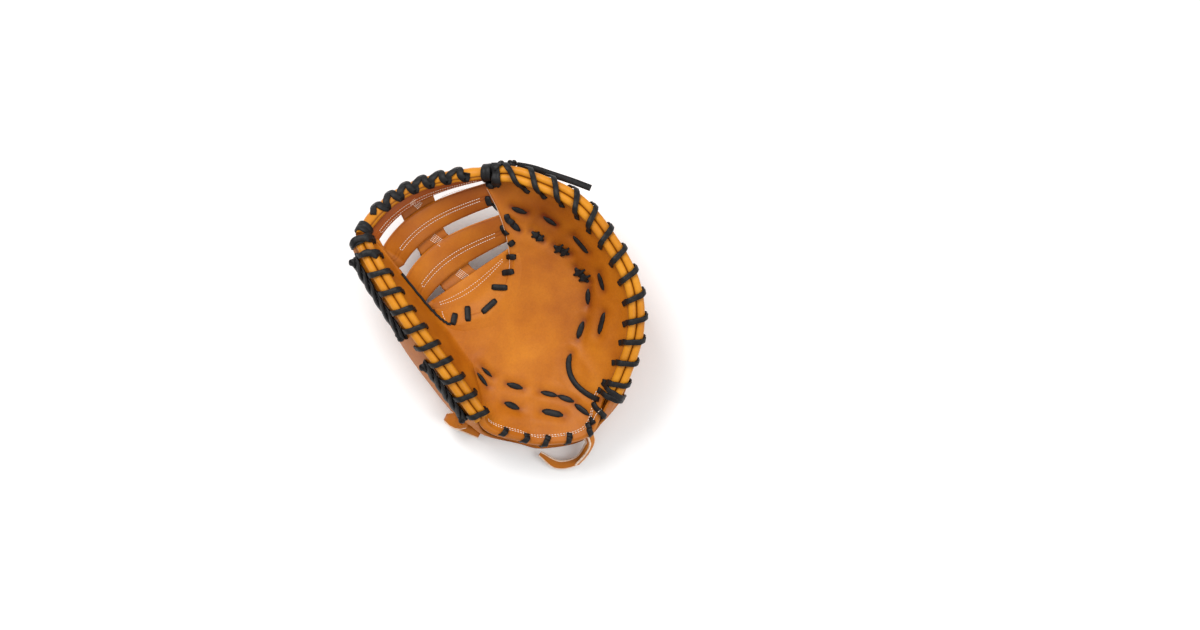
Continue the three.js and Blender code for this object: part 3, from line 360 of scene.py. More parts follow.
def rawhide(name, low, high, rough, grain=1.0):
    """Laces, thread, cut edges and lining: two mottled tones and a fibrous bump."""
    mat, nodes, links, bsdf, coords = principled(name, rough, 0.22)
    tone = ramp(nodes, links, noise(nodes, links, coords, 260, 5), [(0.35, low), (0.7, high)])
    links.new(tone, bsdf.inputs["Base Color"])
    bumped(nodes, links, bsdf, noise(nodes, links, coords, 1500, 3), 0.35 * grain, 0.0005)
    return mat


# The colour the shade attribute mixes towards: painted shade, and on the finger side some of the leather's own redder
# colour
TAN_PAINTED_SHADE_AND_TONE = (0.15, 0.024, 0.002)
TAN = leather("leather_tan", (0.345, 0.090, 0.002), (0.425, 0.124, 0.003), (0.50, 0.162, 0.005), 0.5)
TAN_LIGHT = leather("leather_binding", (0.44, 0.145, 0.004), (0.53, 0.195, 0.006), (0.61, 0.245, 0.010), 0.45)
TAN_DARK = leather("leather_web", (0.30, 0.064, 0.006), (0.37, 0.086, 0.008), (0.44, 0.110, 0.010), 0.52)
LACE = rawhide("rawhide_black", (0.003, 0.0028, 0.003), (0.010, 0.009, 0.0095), 0.5)
LINING = rawhide("lining_black", (0.004, 0.004, 0.0045), (0.012, 0.011, 0.012), 0.85, 2.0)
THREAD = rawhide("thread_cream", (0.72, 0.56, 0.44), (0.9, 0.78, 0.66), 0.75)
RAW_EDGE = rawhide("edge_cream", (0.62, 0.43, 0.31), (0.82, 0.66, 0.52), 0.8, 2.0)


# Meshes. MADE keeps the big ones in millimetres, so that laces and stitches can be laid on them
MADE = {}
MADE_FROM = 2000
FLOOR_CLEARANCE = 0.00005


def coloured(mesh, shade):
    layer = mesh.color_attributes.new("shade", "FLOAT_COLOR", "POINT")
    s = np.broadcast_to(np.clip(shade, 0, 1), len(mesh.vertices))
    layer.data.foreach_set("color", np.stack([s, s, s, np.ones_like(s)], -1).ravel())


def placed_in_scene(obj, replaces):
    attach(obj, "root")
    if replaces:
        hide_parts(*replaces)
    return obj


def piece(name, shape, material, replaces=(), shade=None):
    """An object from verts and faces in millimetres; shade is one darkness, or one for each vertex."""
    verts, faces = shape
    if len(verts) > MADE_FROM:
        MADE[name] = (np.asarray(verts, float), faces)
    mesh = bpy.data.meshes.new(name)
    world = (np.asarray(verts, float) - ORIGIN) / 1000
    world[:, 2] = np.maximum(world[:, 2], FLOOR_CLEARANCE)
    mesh.from_pydata(world.tolist(), [], [list(map(int, f)) for f in faces])
    mesh.validate()
    mesh.materials.append(material)
    mesh.polygons.foreach_set("use_smooth", [True] * len(mesh.polygons))
    if shade is not None:
        coloured(mesh, shade)
    mesh.update()
    obj = bpy.data.objects.new(name, mesh)
    bpy.context.scene.collection.objects.link(obj)
    return placed_in_scene(obj, replaces)


def grid_faces(rows, columns, start=0, flip=False, wrap=False):
    faces = []
    for i in range(rows - 1):
        for j in range(columns if wrap else columns - 1):
            k = (j + 1) % columns
            q = [start + i * columns + j, start + (i + 1) * columns + j,
                 start + (i + 1) * columns + k, start + i * columns + k]
            faces.append(q[::-1] if flip else q)
    return faces


def slab(above, below, edge_rows=2):
    """A closed sheet with rounded borders between a grid above and one below, each (rows, columns, 3)."""
    rows, columns = above.shape[:2]
    verts = np.concatenate([above.reshape(-1, 3), below.reshape(-1, 3)])
    faces = grid_faces(rows, columns) + grid_faces(rows, columns, rows * columns, True)
    loop = [(i, 0) for i in range(rows)] + [(rows - 1, j) for j in range(1, columns)]
    loop += [(i, columns - 1) for i in range(rows - 2, -1, -1)] + [(0, j) for j in range(columns - 2, 0, -1)]
    index = [i * columns + j for i, j in loop]
    top, low = above.reshape(-1, 3)[index], below.reshape(-1, 3)[index]
    inner = []
    for i, j in loop:
        k, m = min(max(i, 1), rows - 2), min(max(j, 1), columns - 2)
        inner.append(above[i, j] - above[k, m])
    outward = unit(np.array(inner))
    half = np.linalg.norm(top - low, axis=-1, keepdims=True) / 2
    rings = [index]
    count = len(verts)
    extra = []
    for step in range(1, edge_rows + 1):
        angle = math.pi * step / (edge_rows + 1)
        middle = (top + low) / 2
        bulge = middle + (top - low) / 2 * math.cos(angle) + outward * np.minimum(half, 1.4) * math.sin(angle)
        extra.append(bulge)
        rings.append(list(range(count, count + len(loop))))
        count += len(loop)
    rings.append([n + rows * columns for n in index])
    for a, b in zip(rings, rings[1:]):
        for n in range(len(loop)):
            m = (n + 1) % len(loop)
            faces.append([a[m], a[n], b[n], b[m]])
    verts = np.concatenate([verts] + extra)
    return verts, faces


def catmull(points, per=6):
    """Centripetal Catmull-Rom through points, with per steps to a stretch."""
    p = np.asarray(points, float)
    p = np.concatenate([[2 * p[0] - p[1]], p, [2 * p[-1] - p[-2]]])
    out = []
    for i in range(1, len(p) - 2):
        t0 = 0.0
        t1 = t0 + max(np.linalg.norm(p[i] - p[i - 1]) ** 0.5, 1e-4)
        t2 = t1 + max(np.linalg.norm(p[i + 1] - p[i]) ** 0.5, 1e-4)
        t3 = t2 + max(np.linalg.norm(p[i + 2] - p[i + 1]) ** 0.5, 1e-4)
        for k in range(per):
            t = t1 + (t2 - t1) * k / per
            a1 = (t1 - t) / (t1 - t0) * p[i - 1] + (t - t0) / (t1 - t0) * p[i]
            a2 = (t2 - t) / (t2 - t1) * p[i] + (t - t1) / (t2 - t1) * p[i + 1]
            a3 = (t3 - t) / (t3 - t2) * p[i + 1] + (t - t2) / (t3 - t2) * p[i + 2]
            b1 = (t2 - t) / (t2 - t0) * a1 + (t - t0) / (t2 - t0) * a2
            b2 = (t3 - t) / (t3 - t1) * a2 + (t - t1) / (t3 - t1) * a3
            out.append((t2 - t) / (t2 - t1) * b1 + (t - t1) / (t2 - t1) * b2)
    out.append(p[-2])
    return np.array(out)


def strap_profile(width, thick):
    w, t, c = width / 2, thick / 2, min(width, thick) * 0.28
    return np.array([[-w, -t + c], [-w, t - c], [-w + c, t], [w - c, t],
                     [w, t - c], [w, -t + c], [w - c, -t], [-w + c, -t]])


def round_profile(radius, sides=8):
    return [(radius * math.cos(a), radius * math.sin(a)) for a in np.linspace(2 * math.pi, 0, sides + 1)[:-1]]


def closed_tube(lanes):
    """A closed tube through lanes that run side by side along it."""
    count, sides = len(lanes[0]), len(lanes)
    faces = grid_faces(count, sides, 0, False, True)
    faces += [list(range(sides))[::-1], [(count - 1) * sides + k for k in range(sides)]]
    return np.stack(lanes, 1).reshape(-1, 3), [f[::-1] for f in faces]


def sweep(points, faces_up, profile, widen=1.0):
    """A closed tube: the profile's first column runs across, its second along the way the face looks."""
    points = np.asarray(points, float)
    along = heading(points)
    up = np.asarray(faces_up, float)
    up = unit(up - along * np.sum(up * along, -1, keepdims=True))
    out = np.cross(up, along)
    return closed_tube([points + out * x * col(widen) + up * y for x, y in profile])


def merged(parts):
    verts, faces, base = [], [], 0
    for v, f in parts:
        verts.append(v)
        faces += [[i + base for i in q] for q in f]
        base += len(v)
    return np.concatenate(verts), faces


def lace_tube(stops, width=LACE_WIDTH, thick=LACE_THICK, per=6):
    """A flat rawhide lace of uneven width through stops, each (point, the way its face looks)."""
    points = catmull([s[0] for s in stops], per)
    faces_up = catmull([unit(np.asarray(s[1], float)) for s in stops], per)
    phase = random.random() * 6
    widen = 1 + 0.055 * np.sin(np.arange(len(points)) * 0.31 + phase)
    return sweep(points, faces_up, strap_profile(width * 0.97, thick * 0.97), widen)


FINE_THREAD = dict(pitch=2.7, length=1.9, radius=0.4)
STITCH_SHARES = (0, 0.18, 0.5, 0.82, 1)
STITCH_SUNK = -0.5


def stitches(points, normals, pitch=3.1, length=2.1, radius=0.42, lift=0.3):
    """Sewing stitches along a line on a surface, each a short rounded bar half sunk in the leather."""
    points, normals = np.asarray(points, float), np.asarray(normals)
    dist = run_along(points)
    rise = np.array([[STITCH_SUNK], [lift * 0.7], [lift], [lift * 0.7], [STITCH_SUNK]])
    parts = []
    for start in np.arange(pitch * 0.3, dist[-1] - length, pitch):
        ts = [start + length * k for k in STITCH_SHARES]
        p, n = (np.stack([np.interp(ts, dist, v[:, c]) for c in range(3)], -1) for v in (points, normals))
        n = unit(n)
        p = p + n * rise
        out = np.cross(n, heading(p))
        ring = [(math.cos(a), math.sin(a)) for a in np.linspace(0, 2 * math.pi, 6)[:-1]]
        parts.append(closed_tube([p + out * radius * x + n * radius * y for x, y in ring]))
    return parts


# A height past every part of the mitt, where the lines that look for a surface start
BEYOND = 400.0


def bvh_of(verts, faces):
    return BVHTree.FromPolygons([Vector(v) for v in verts], faces)


def drop_on(tree, x, y, side=1):
    """The point and normal where a vertical line meets a surface, from above (1) or below (-1)."""
    hit, normal, _, _ = tree.ray_cast(Vector((x, y, BEYOND * side)), Vector((0, 0, -side)))
    if hit is None:
        return None, None
    normal = np.array(normal)
    if normal[2] * side < 0:
        normal = -normal
    return np.array(hit), normal


# Lace routes round the rim, as the solids have them
LACE_LIFT = LACE_THICK / 2 + GAP


def rim_frame(u):
    """The rim at station u: its point, the way out and the way up."""
    out = rim_outward(u)
    return rim_point(u), out, unit(np.cross(out, rim_along(u)))


def rim_stations(a, b, pitch):
    """Stations about one pitch apart along the rim from a to b."""
    samples = np.linspace(a, b, 201)
    dist = run_along(rim_point(samples))
    count = int(round(dist[-1] / pitch))
    return [float(samples[np.argmax(dist >= dist[-1] * k / count - 1e-6)]) for k in range(count + 1)]


def down_from(fn, u, distance, lift, side):
    """The place a given length down a surface from its rim, raised by lift, and the way it faces."""
    s = np.arange(0, 0.904, 0.004)
    p = fn(np.full_like(s, u), s)
    dist = run_along(p)
    k = min(int(np.argmax(dist >= distance)) if dist[-1] >= distance else len(s) - 1, len(s) - 1)
    n = normal_of(fn, u, s[k]) * side
    return p[k] + n * lift, n


def whip_turn(at, bound):
    """Stops of one turn: up the palm, over the rim and down the outside; at(share) is the station."""
    half = BINDING_WIDTH / 2 if bound else RIM_PAD / 2
    rise = BINDING_RISE if bound else 0.0
    slack = LACE_SLACK * 0.5
    over = [(0.15, -1.0, 0.3), (0.22, -0.6, 1.0), (0.29, 0.0, 0.92), (0.36, 0.6, 1.0), (0.43, 1.0, 0.3)] if bound \
        else [(0.14, -0.35, 0.85), (0.22, 0.5, 0.3), (0.32, 0.5, -3.2)]
    inner = down_from(palm_surface, at(-0.06), LACE_INSET + 2, -4.0, 1)
    entry = down_from(palm_surface, at(0), LACE_INSET, LACE_LIFT - 0.3, 1)
    stops = [(inner[0], entry[1]), entry, down_from(palm_surface, at(0.08), 2.2, LACE_LIFT - 0.2, 1)]
    for share, x, y in over:
        p, out, up = rim_frame(at(share))
        face = unit(out * x + up * y)
        stops.append((p + out * x * (half + slack + LACE_LIFT) + up * y * (rise + slack + LACE_LIFT), face))
    if bound:
        stops.append(down_from(back_surface, at(0.48), 2.0, LACE_LIFT + 0.3, -1))
        last = down_from(back_surface, at(0.54), LACE_INSET, LACE_LIFT - 0.2, -1)
        stops += [last, (down_from(back_surface, at(0.58), LACE_INSET + 2.5, -4.0, -1)[0], last[1])]
    else:
        last = down_from(palm_surface, at(0.5), LACE_INSET, RIM_PAD + LACE_LIFT, -1)
        stops += [last, (down_from(palm_surface, at(0.52), LACE_INSET + 2, RIM_PAD - 3, -1)[0], last[1])]
    return stops


def whip_run(a, b, bound, steep=(40, 41)):
    """Turns of one whip lace, leaning more between the two stations of steep and past them."""
    stations = rim_stations(a, b, LACE_PITCH)
    turns = []
    for here, after in zip(stations, stations[1:]):
        more = 0.42 * float(smooth(np.clip((here - steep[0]) / (steep[1] - steep[0]), 0, 1)))
        at = lambda share: here + (after - here) * (share + more * (share - 0.3) / 0.3)
        turns.append(whip_turn(at, bound))
    return turns


def end_turns(*pairs):
    """Turns drawn close together at the ends of a binding, each from one station to another."""
    return [whip_turn(lambda share, a=a, b=b: a + (b - a) * share, True) for a, b in pairs]


FINGER_RUN = whip_run(9.45, 15.8, True, (12.6, 14.2))
THUMB_RUN = whip_run(4.35, 0.15, True)
HEEL_RUN = whip_run(8.75, 4.9, False)
FINGER_ENDS = end_turns((15.72, 15.95), (15.98, 15.70), (15.86, 15.99), (9.42, 9.16), (9.14, 9.3))
THUMB_ENDS = end_turns((0.02, 0.12), (0.16, 0.01))


# Free cords: the points that the solids follow
def cord_piece(name, rows, knot_at=None):
    pts = scaled(rows["x"], rows["y"], rows["z"])
    if knot_at is not None:
        pts = np.concatenate([[knot_at], pts])
    path = catmull(pts, 8)
    keep = np.linalg.norm(path - pts[0], axis=-1) > 3.2
    path = path[int(np.argmax(keep)):]
    tangent = heading(path)
    side = unit(np.cross(tangent, [0, 0, 1.0]))
    up = np.cross(side, tangent)
    twist = np.linspace(0, 1, len(path))
    up = unit(up + side * col(0.18 * np.sin(twist * 5.0)))
    tube = sweep(path, up, strap_profile(LACE_WIDTH * 1.15, LACE_THICK * 0.9))
    obj = piece(name + "_cord", tube, LACE, [name])


# Camera straight above the palm
camera_data = bpy.data.cameras.new("camera")
camera = bpy.data.objects.new("camera", camera_data)
bpy.context.scene.collection.objects.link(camera)
bpy.context.scene.camera = camera
MM_PER_PIXEL = 1.04
CAMERA_HEIGHT, FOCUS_HEIGHT, SENSOR, IMAGE_WIDTH = 3.0, 0.09, 36.0, 1200
view_x, view_y = -4.0 - ORIGIN[0], -10.4 - ORIGIN[1]
camera.location = (view_x / 1000, view_y / 1000, CAMERA_HEIGHT)
camera.rotation_euler = (0, 0, 0)
camera_data.sensor_width = SENSOR
camera_data.lens = SENSOR * (CAMERA_HEIGHT - FOCUS_HEIGHT) / (IMAGE_WIDTH / 1000 * MM_PER_PIXEL)
camera_data.shift_x = 99.0 / IMAGE_WIDTH
camera_data.clip_end = 20


# Plain surfaces, for what is laid or knotted on them
aa, bb = np.meshgrid(np.linspace(-0.06, 1.06, 60), np.linspace(0, WEB_LAST, 60), indexing="ij")
web_low = web_surface(aa, bb) - normal_of(web_surface, aa, bb) * BAR_THICK / 2
web_tree = bvh_of(web_low.reshape(-1, 3), grid_faces(60, 60))
uu, tt = np.meshgrid(np.linspace(0, LAST, 161), np.linspace(0, 1, 61), indexing="ij")
back_tree = bvh_of(back_surface(uu, tt).reshape(-1, 3), grid_faces(161, 61))
palm_tree = bvh_of(palm_surface(uu, tt).reshape(-1, 3), grid_faces(161, 61))


def behind_post(x, y):
    p, _ = drop_on(web_tree, x * WIDTH, y * LENGTH, -1)
    return p - np.array([0, 0, POST_THICK + KNOT_WIDTH * 0.6])


KNOTS = {
    "upper": dict(at=behind_post(-0.237, 0.139), start=(0.075, 0.3), rows=WEB_TAIL_UPPER),
    "lower": dict(at=behind_post(-0.165, 0.039), start=(0.1, 0.25), rows=WEB_TAIL_LOWER),
}
for name, knot in KNOTS.items():
    cord_piece(f"web_tail_{name}", knot["rows"], knot["at"])
cord_piece("tip_tail", TIP_TAIL)
cord_piece("finger_tail", FINGER_TAIL)


# Lace dashes sewn flat through the palm: two ends in units of a drawing, and a width in millimetres. The drawing
# has DRAWING_SCALE units to a pixel of the view, its corner is at DRAWING_X and DRAWING_Y, the model's middle at
# MIDDLE_X and MIDDLE_Y
DRAWING_SCALE, DRAWING_X, DRAWING_Y = 4.75, 340.0, 150.0
MIDDLE_X, MIDDLE_Y = 505, 305


def drawn(cx, cy):
    return ((DRAWING_X + cx / DRAWING_SCALE - MIDDLE_X) * MM_PER_PIXEL,
            (MIDDLE_Y - DRAWING_Y - cy / DRAWING_SCALE) * MM_PER_PIXEL)


DASHES = [
    (815, 270, 890, 297, 5.0), (968, 313, 1032, 355, 5.0), (1110, 405, 1183, 490, 5.0), (1232, 580, 1258, 668, 5.0),
    (1262, 770, 1235, 878, 5.2), (800, 330, 858, 382, 5.6), (1186, 655, 1184, 735, 4.6), (1163, 812, 1133, 900, 5.0),
    (650, 1060, 700, 1128, 3.4), (672, 1035, 722, 1082, 3.2), (792, 1115, 872, 1138, 5.0), (780, 1205, 855, 1237, 5.6),
    (960, 1245, 1068, 1268, 5.8), (955, 1155, 1040, 1175, 4.6), (1036, 1172, 1120, 1202, 4.8),
    (1118, 1210, 1192, 1266, 4.8), (1193, 1268, 1226, 1345, 5.6), (1248, 1192, 1284, 1262, 4.8),
]
CLUSTERS = [(912, 383, 970, 428), (1018, 450, 1096, 494), (1120, 556, 1188, 628)]
LONG_CURVE = [(1103, 968), (1092, 1010), (1098, 1065), (1125, 1115), (1165, 1152), (1208, 1178), (1255, 1196)]


def dash_lines():
    lines = [([drawn(a, b), drawn((a + c) / 2, (b + d) / 2), drawn(c, d)], w) for a, b, c, d, w in DASHES]
    for a, b, c, d in CLUSTERS:
        lines.append(([drawn(a, b), drawn(c, d)], 6.0))
    lines.append(([drawn(x, y) for x, y in LONG_CURVE], 4.8))
    return lines


LINES = dash_lines()
dents = []
for line, width in LINES:
    for (x0, y0), (x1, y1) in zip(line, line[1:]):
        for k in range(4):
            dents.append((x0 + (x1 - x0) * k / 3, y0 + (y1 - y0) * k / 3))
dents = np.array(dents)


# Pads of the palm in the drawing's units: middle, the two half widths, turn in degrees and height in millimetres
PADS = [
    (880, 900, 210, 170, -20, -1.6), (1255, 830, 60, 230, 8, 2.2), (1120, 330, 190, 40, -38, 1.6),
    (1000, 1190, 150, 28, 8, 1.5), (690, 1000, 60, 110, 25, 1.6), (1175, 760, 22, 250, 6, -1.3),
    (1170, 1020, 30, 110, -30, 1.6), (870, 1290, 190, 30, 8, 1.8), (1010, 400, 170, 24, -36, -1.0),
    (560, 860, 50, 70, 30, -1.0),
]
DRAWN_TO_MM = 4.57


def pads_at(x, y):
    total = np.zeros_like(x)
    for cx, cy, rx, ry, turn, height in PADS:
        px, py = drawn(cx, cy)
        c, s = math.cos(math.radians(-turn)), math.sin(math.radians(-turn))
        dx, dy = x - px, y - py
        a, b = (dx * c + dy * s) / (rx / DRAWN_TO_MM), (-dx * s + dy * c) / (ry / DRAWN_TO_MM)
        total = total + height * np.exp(-(a * a + b * b))
    return total


def distance_to(points, p):
    """How far each place of a grid is from the nearest of some points, seen from above."""
    flat = p[..., :2].reshape(-1, 2)
    return np.sqrt(((flat[:, None, :] - points[None]) ** 2).sum(-1)).min(1).reshape(p.shape[:-1])


# Palm
def palm_relief(p):
    """How far the palm's face stands off its plain surface, and the painted shade in the dents where the laces go in.
    """
    dist = distance_to(dents, p)
    dip = -1.5 * bell(dist, 5.0) + 0.5 * bell(dist - 10, 5.0)
    x, y = p[..., 0], p[..., 1]
    waves = 0.55 * np.sin(x * 0.045 + y * 0.02 + 1.2) * np.sin(y * 0.05 - x * 0.017)
    waves += 0.25 * np.sin(x * 0.11 - y * 0.07)
    return dip + waves + pads_at(x, y), 0.55 * bell(dist, 3.6)


def side_shade(u, s):
    """How much darker the palm's walls are drawn, most of all on the side of the finger tips: painted shade on the
    steep walls, together with some of the leather's own redder colour there.
    """
    wall = np.clip(1 - s / np.minimum(rows_at(PALM, u)["wall"], 1), 0, 1)
    low_wall = bell(wall - 0.3, 0.3)
    dark = 0.30 * low_wall * smooth(np.clip((u - 9.6) / 1.5, 0, 1))
    dark += 0.44 * smooth(np.clip((u - 12.8) / 1.6, 0, 1)) * smooth(np.clip(1 - s / 0.75, 0, 1) * 1.4)
    return dark + 0.05 * low_wall * (1 - smooth(np.clip((u - 4) / 1.5, 0, 1)))


rows, columns = 401, 121
uu, ss = np.meshgrid(np.linspace(0, LAST, rows), np.linspace(0, 1, columns), indexing="ij")
base = palm_surface(uu, ss)
up = normal_of(palm_surface, uu, ss)
off, dark = palm_relief(base)
fade = np.minimum(1, np.minimum(ss, 1 - ss) * 12)
above = base + up * col(off * fade)
verts, faces = slab(above, base - up * col(palm_thickness(ss)))
shade = np.zeros(len(verts))
# Painted shade on the palm's face: in the lace dents, on the walls, and along its two long edges, at the rim under the
# binding and at the inner edge
shade[: rows * columns] = (dark + side_shade(uu, ss) + 0.25 * np.exp(-ss * 60) + 0.3 * np.exp(-(1 - ss) * 60)).ravel()
piece("palm", (verts, faces), TAN, ["palm_shell"], shade)
palm_top = bvh_of(above.reshape(-1, 3), grid_faces(rows, columns))


def dash(line, width, sink=2.4, lift=0.75):
    """A flat lace that comes up through the leather, lies on it and goes down again, if it meets the palm."""
    pts = catmull(np.column_stack([line, np.zeros(len(line))]), 6)
    dist = run_along(pts)
    total = dist[-1]
    places, ups, widths = [], [], []
    for t in np.linspace(0, total, max(9, int(total / 2.2))):
        p, n = drop_on(palm_top, np.interp(t, dist, pts[:, 0]), np.interp(t, dist, pts[:, 1]))
        if p is None:
            continue
        end = min(t, total - t)
        places.append(p + n * (-sink + (sink + lift) * smooth(min(1.0, end / 2.4 + 0.1))))
        ups.append(n)
        widths.append(0.3 + 0.78 * smooth(min(1.0, end / min(6.5, total * 0.45))))
    return [sweep(places, ups, strap_profile(width * 1.12, 2.3), np.array(widths))] if len(places) > 3 else []


parts = []
for line, width in LINES:
    parts += dash(line, width)
for a, b, c, d in CLUSTERS:
    (x0, y0), (x1, y1) = drawn(a, b), drawn(c, d)
    mx, my, ax, ay = (x0 + x1) / 2, (y0 + y1) / 2, (x1 - x0) / 2, (y1 - y0) / 2
    for turn, shift in ((1.25, -0.35), (1.25, 0.4)):
        ca, sa = math.cos(turn), math.sin(turn)
        ex, ey = (ax * ca - ay * sa) * 0.62, (ax * sa + ay * ca) * 0.62
        cx, cy = mx + ax * shift, my + ay * shift
        parts += dash([(cx - ex, cy - ey), (cx, cy), (cx + ex, cy + ey)], 5.0, 2.0, 2.4)
piece("palm_lace_dashes", merged(parts), LACE)


# Back panels, with the hand opening cut out and the sewn seams pressed in
SEAMS = [
    [(700, 205), (672, 228), (660, 250), (663, 280), (682, 312), (705, 335), (748, 352)],
    [(653, 288), (660, 298), (668, 318), (683, 352)],
    [(700, 352), (708, 345), (711, 340)],
    [(637, 345), (641, 357), (645, 368)],
]


def back_place(px, py):
    return -9.4 - (px - 718) * 1.08, 148.7 - (py - 163) * 1.0


def seam_curve(seam):
    pts = np.array([(*back_place(*q), 0.0) for q in seam])
    return catmull(pts, 10) if len(pts) > 2 else np.linspace(pts[0], pts[1], 8)


CREASES = [[(628, 244), (647, 229.6), (663.5, 220.4), (678, 217)], [(686, 211), (697, 207), (708, 205)]]
seam_lines = [seam_curve(s) for s in SEAMS + CREASES]
seam_points = np.concatenate(seam_lines)[:, :2]


def back_relief(p):
    """How far the back's face is pressed in at the seams or stands off, and the painted shade in the pressed-in seams.
    """
    dist = distance_to(seam_points, p)
    x, y = p[..., 0], p[..., 1]
    waves = 0.6 * np.sin(x * 0.05 - y * 0.03) * np.sin(y * 0.045 + x * 0.02 + 0.6)
    return -0.9 * bell(dist, 1.6) + 0.5 * bell(dist - 6, 4) + waves, 0.6 * bell(dist, 1.2)


def oval(angles, length, width):
    """Points on an oval about the middle of the hand opening."""
    x, y = length / 2 * np.cos(angles), width / 2 * np.sin(angles)
    c, s = math.cos(OPENING_TURN), math.sin(OPENING_TURN)
    return np.stack([OPENING_X * WIDTH + x * c - y * s, OPENING_Y * LENGTH + x * s + y * c], -1)


def back_panel(name, a, b, steps, solid):
    cols = 91
    u, t = np.meshgrid(np.linspace(a, b, steps), np.linspace(0, 1, cols), indexing="ij")
    p = back_surface(u, t)
    n = normal_of(back_surface, u, t)
    off, dark = back_relief(p)
    off_floor = np.clip(p[..., 2] / 4.0, 0, 1)
    fade = np.minimum(1, np.minimum(t, 1 - t) * 12) * off_floor
    verts, faces = slab(p + n * BACK_WALL, p - n * col(off * fade))
    shade = np.zeros(len(verts))
    # Painted shade on the face with the seams: in the seams, and along the panel's two long edges
    outer = dark * off_floor + 0.25 * np.exp(-t * 50) + 0.3 * np.exp(-(1 - t) * 60)
    shade[steps * cols: 2 * steps * cols] = outer.ravel()
    return piece(name, (verts, faces), TAN, [solid], shade)


thumb_seam, finger_seam = 11 * LAST / 36, 22 * LAST / 36
back_panel("thumb_back_panel", 0, thumb_seam - 0.008, 131, "thumb_back")
back_panel("finger_back_panel", finger_seam + 0.008, LAST, 171, "finger_back")
wrist = back_panel("wrist_back_panel", thumb_seam + 0.008, finger_seam - 0.008, 151, "wrist_back")

FULL_TURN = np.linspace(0, 2 * np.pi, 96, endpoint=False)
ring = oval(FULL_TURN, OPENING_LENGTH, OPENING_WIDTH)
cutter_verts = [(x, y, z) for z in (-20.0, 32.0) for x, y in ring]
count = len(ring)
cutter_faces = [[k, (k + 1) % count, count + (k + 1) % count, count + k] for k in range(count)]
cutter_faces += [list(range(count))[::-1], list(range(count, 2 * count))]
mesh = bpy.data.meshes.new("opening_cutter")
mesh.from_pydata(((np.array(cutter_verts) - ORIGIN) / 1000).tolist(), [], cutter_faces)
cutter = bpy.data.objects.new("opening_cutter", mesh)
bpy.context.scene.collection.objects.link(cutter)
boolean = wrist.modifiers.new("opening", "BOOLEAN")
boolean.operation, boolean.object, boolean.solver = "DIFFERENCE", cutter, "EXACT"
bpy.context.view_layer.update()
baked = bpy.data.meshes.new_from_object(wrist.evaluated_get(bpy.context.evaluated_depsgraph_get()))
wrist.modifiers.clear()
wrist.data = baked
wrist.data.name = "wrist_back_panel"
bpy.data.objects.remove(cutter)


# Stitches and a rolled hem round the hand opening
def on_back(x, y, lift):
    p, n = drop_on(back_tree, x, y, -1)
    return p + n * lift, n


def laid_on_back(points, lift):
    """The points of a line on the back, and the ways they face."""
    placed = [on_back(x, y, lift) for x, y in points]
    return np.array([p for p, _ in placed]), np.array([n for _, n in placed])


stitched = oval(FULL_TURN, OPENING_LENGTH * 1.12, OPENING_WIDTH * 1.12)
piece("back_stitching", merged(stitches(*laid_on_back([*stitched, stitched[0]], -0.3))), THREAD)
points, ups = laid_on_back([*ring, ring[0]], 0.0)
piece("opening_hem", sweep(points - ups * 1.2, ups, round_profile(2.1, 12)), TAN, shade=0.05)


# Liner, from the solid's own shape, made smooth
def softened(solid, name, material, voxel):
    """A copy of a solid, remeshed fine and rubbed smooth."""
    obj = bpy.data.objects.new(name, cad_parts[solid].data.copy())
    bpy.context.scene.collection.objects.link(obj)
    mod = obj.modifiers.new("remesh", "REMESH")
    mod.mode, mod.voxel_size, mod.use_smooth_shade = "VOXEL", voxel / 1000, True
    rub = obj.modifiers.new("smooth", "SMOOTH")
    rub.factor, rub.iterations = 0.5, 2
    bpy.context.view_layer.update()
    mesh = bpy.data.meshes.new_from_object(obj.evaluated_get(bpy.context.evaluated_depsgraph_get()))
    obj.modifiers.clear()
    obj.data = mesh
    mesh.materials.clear()
    mesh.materials.append(material)
    mesh.polygons.foreach_set("use_smooth", [True] * len(mesh.polygons))
    coloured(mesh, 0.03)
    placed_in_scene(obj, [solid])


softened("hand_liner", "hand_lining", LINING, 0.8)


# Rim binding: two rolls with a groove, pinched where a lace passes
def binding_piece(name, a, b, run, solid):
    count = 420
    p, out, up = rim_frame(np.linspace(a, b, count))
    crossings = np.array([np.mean([s[0] for s in turn[3:8]], axis=0) for turn in run])
    d = distance_to(crossings[:, :2], p)
    pinch = 1 - 0.10 * bell(d, 3.4) + 0.035 * bell(d - 9, 5)
    roll = []
    for centre in (-0.5, 0.5):
        for angle in np.linspace(math.pi, 0, 9):
            x = centre + 0.5 * math.cos(angle)
            y = 0.12 + 0.88 * math.sin(angle) ** 0.9 if 0 < angle < math.pi else 0.12
            roll.append((x * 0.995, max(y, 0.22 if abs(x) < 0.06 else 0.0)))
    profile = [(-1.0, -0.96), *roll, (1.0, -0.96)]
    half, rise = BINDING_WIDTH / 2, BINDING_RISE
    tube = closed_tube([p + out * x * half + up * col(y * rise * np.where(y > 0, pinch, 1.0)) for x, y in profile])
    # Painted shade: in the groove between the two rolls, on the flat underside, and where each lace crosses the
    # binding
    groove_shade = np.array([bell(x, 0.09) for x, _ in profile])
    low = np.array([0.4 if y < 0.1 else 0.0 for _, y in profile])
    shade = (groove_shade[None] * 0.85 + low[None] * 0.6 + col(bell(d, 3.6)) * 0.35).ravel()
    return piece(name, tube, TAN_LIGHT, [solid], shade)


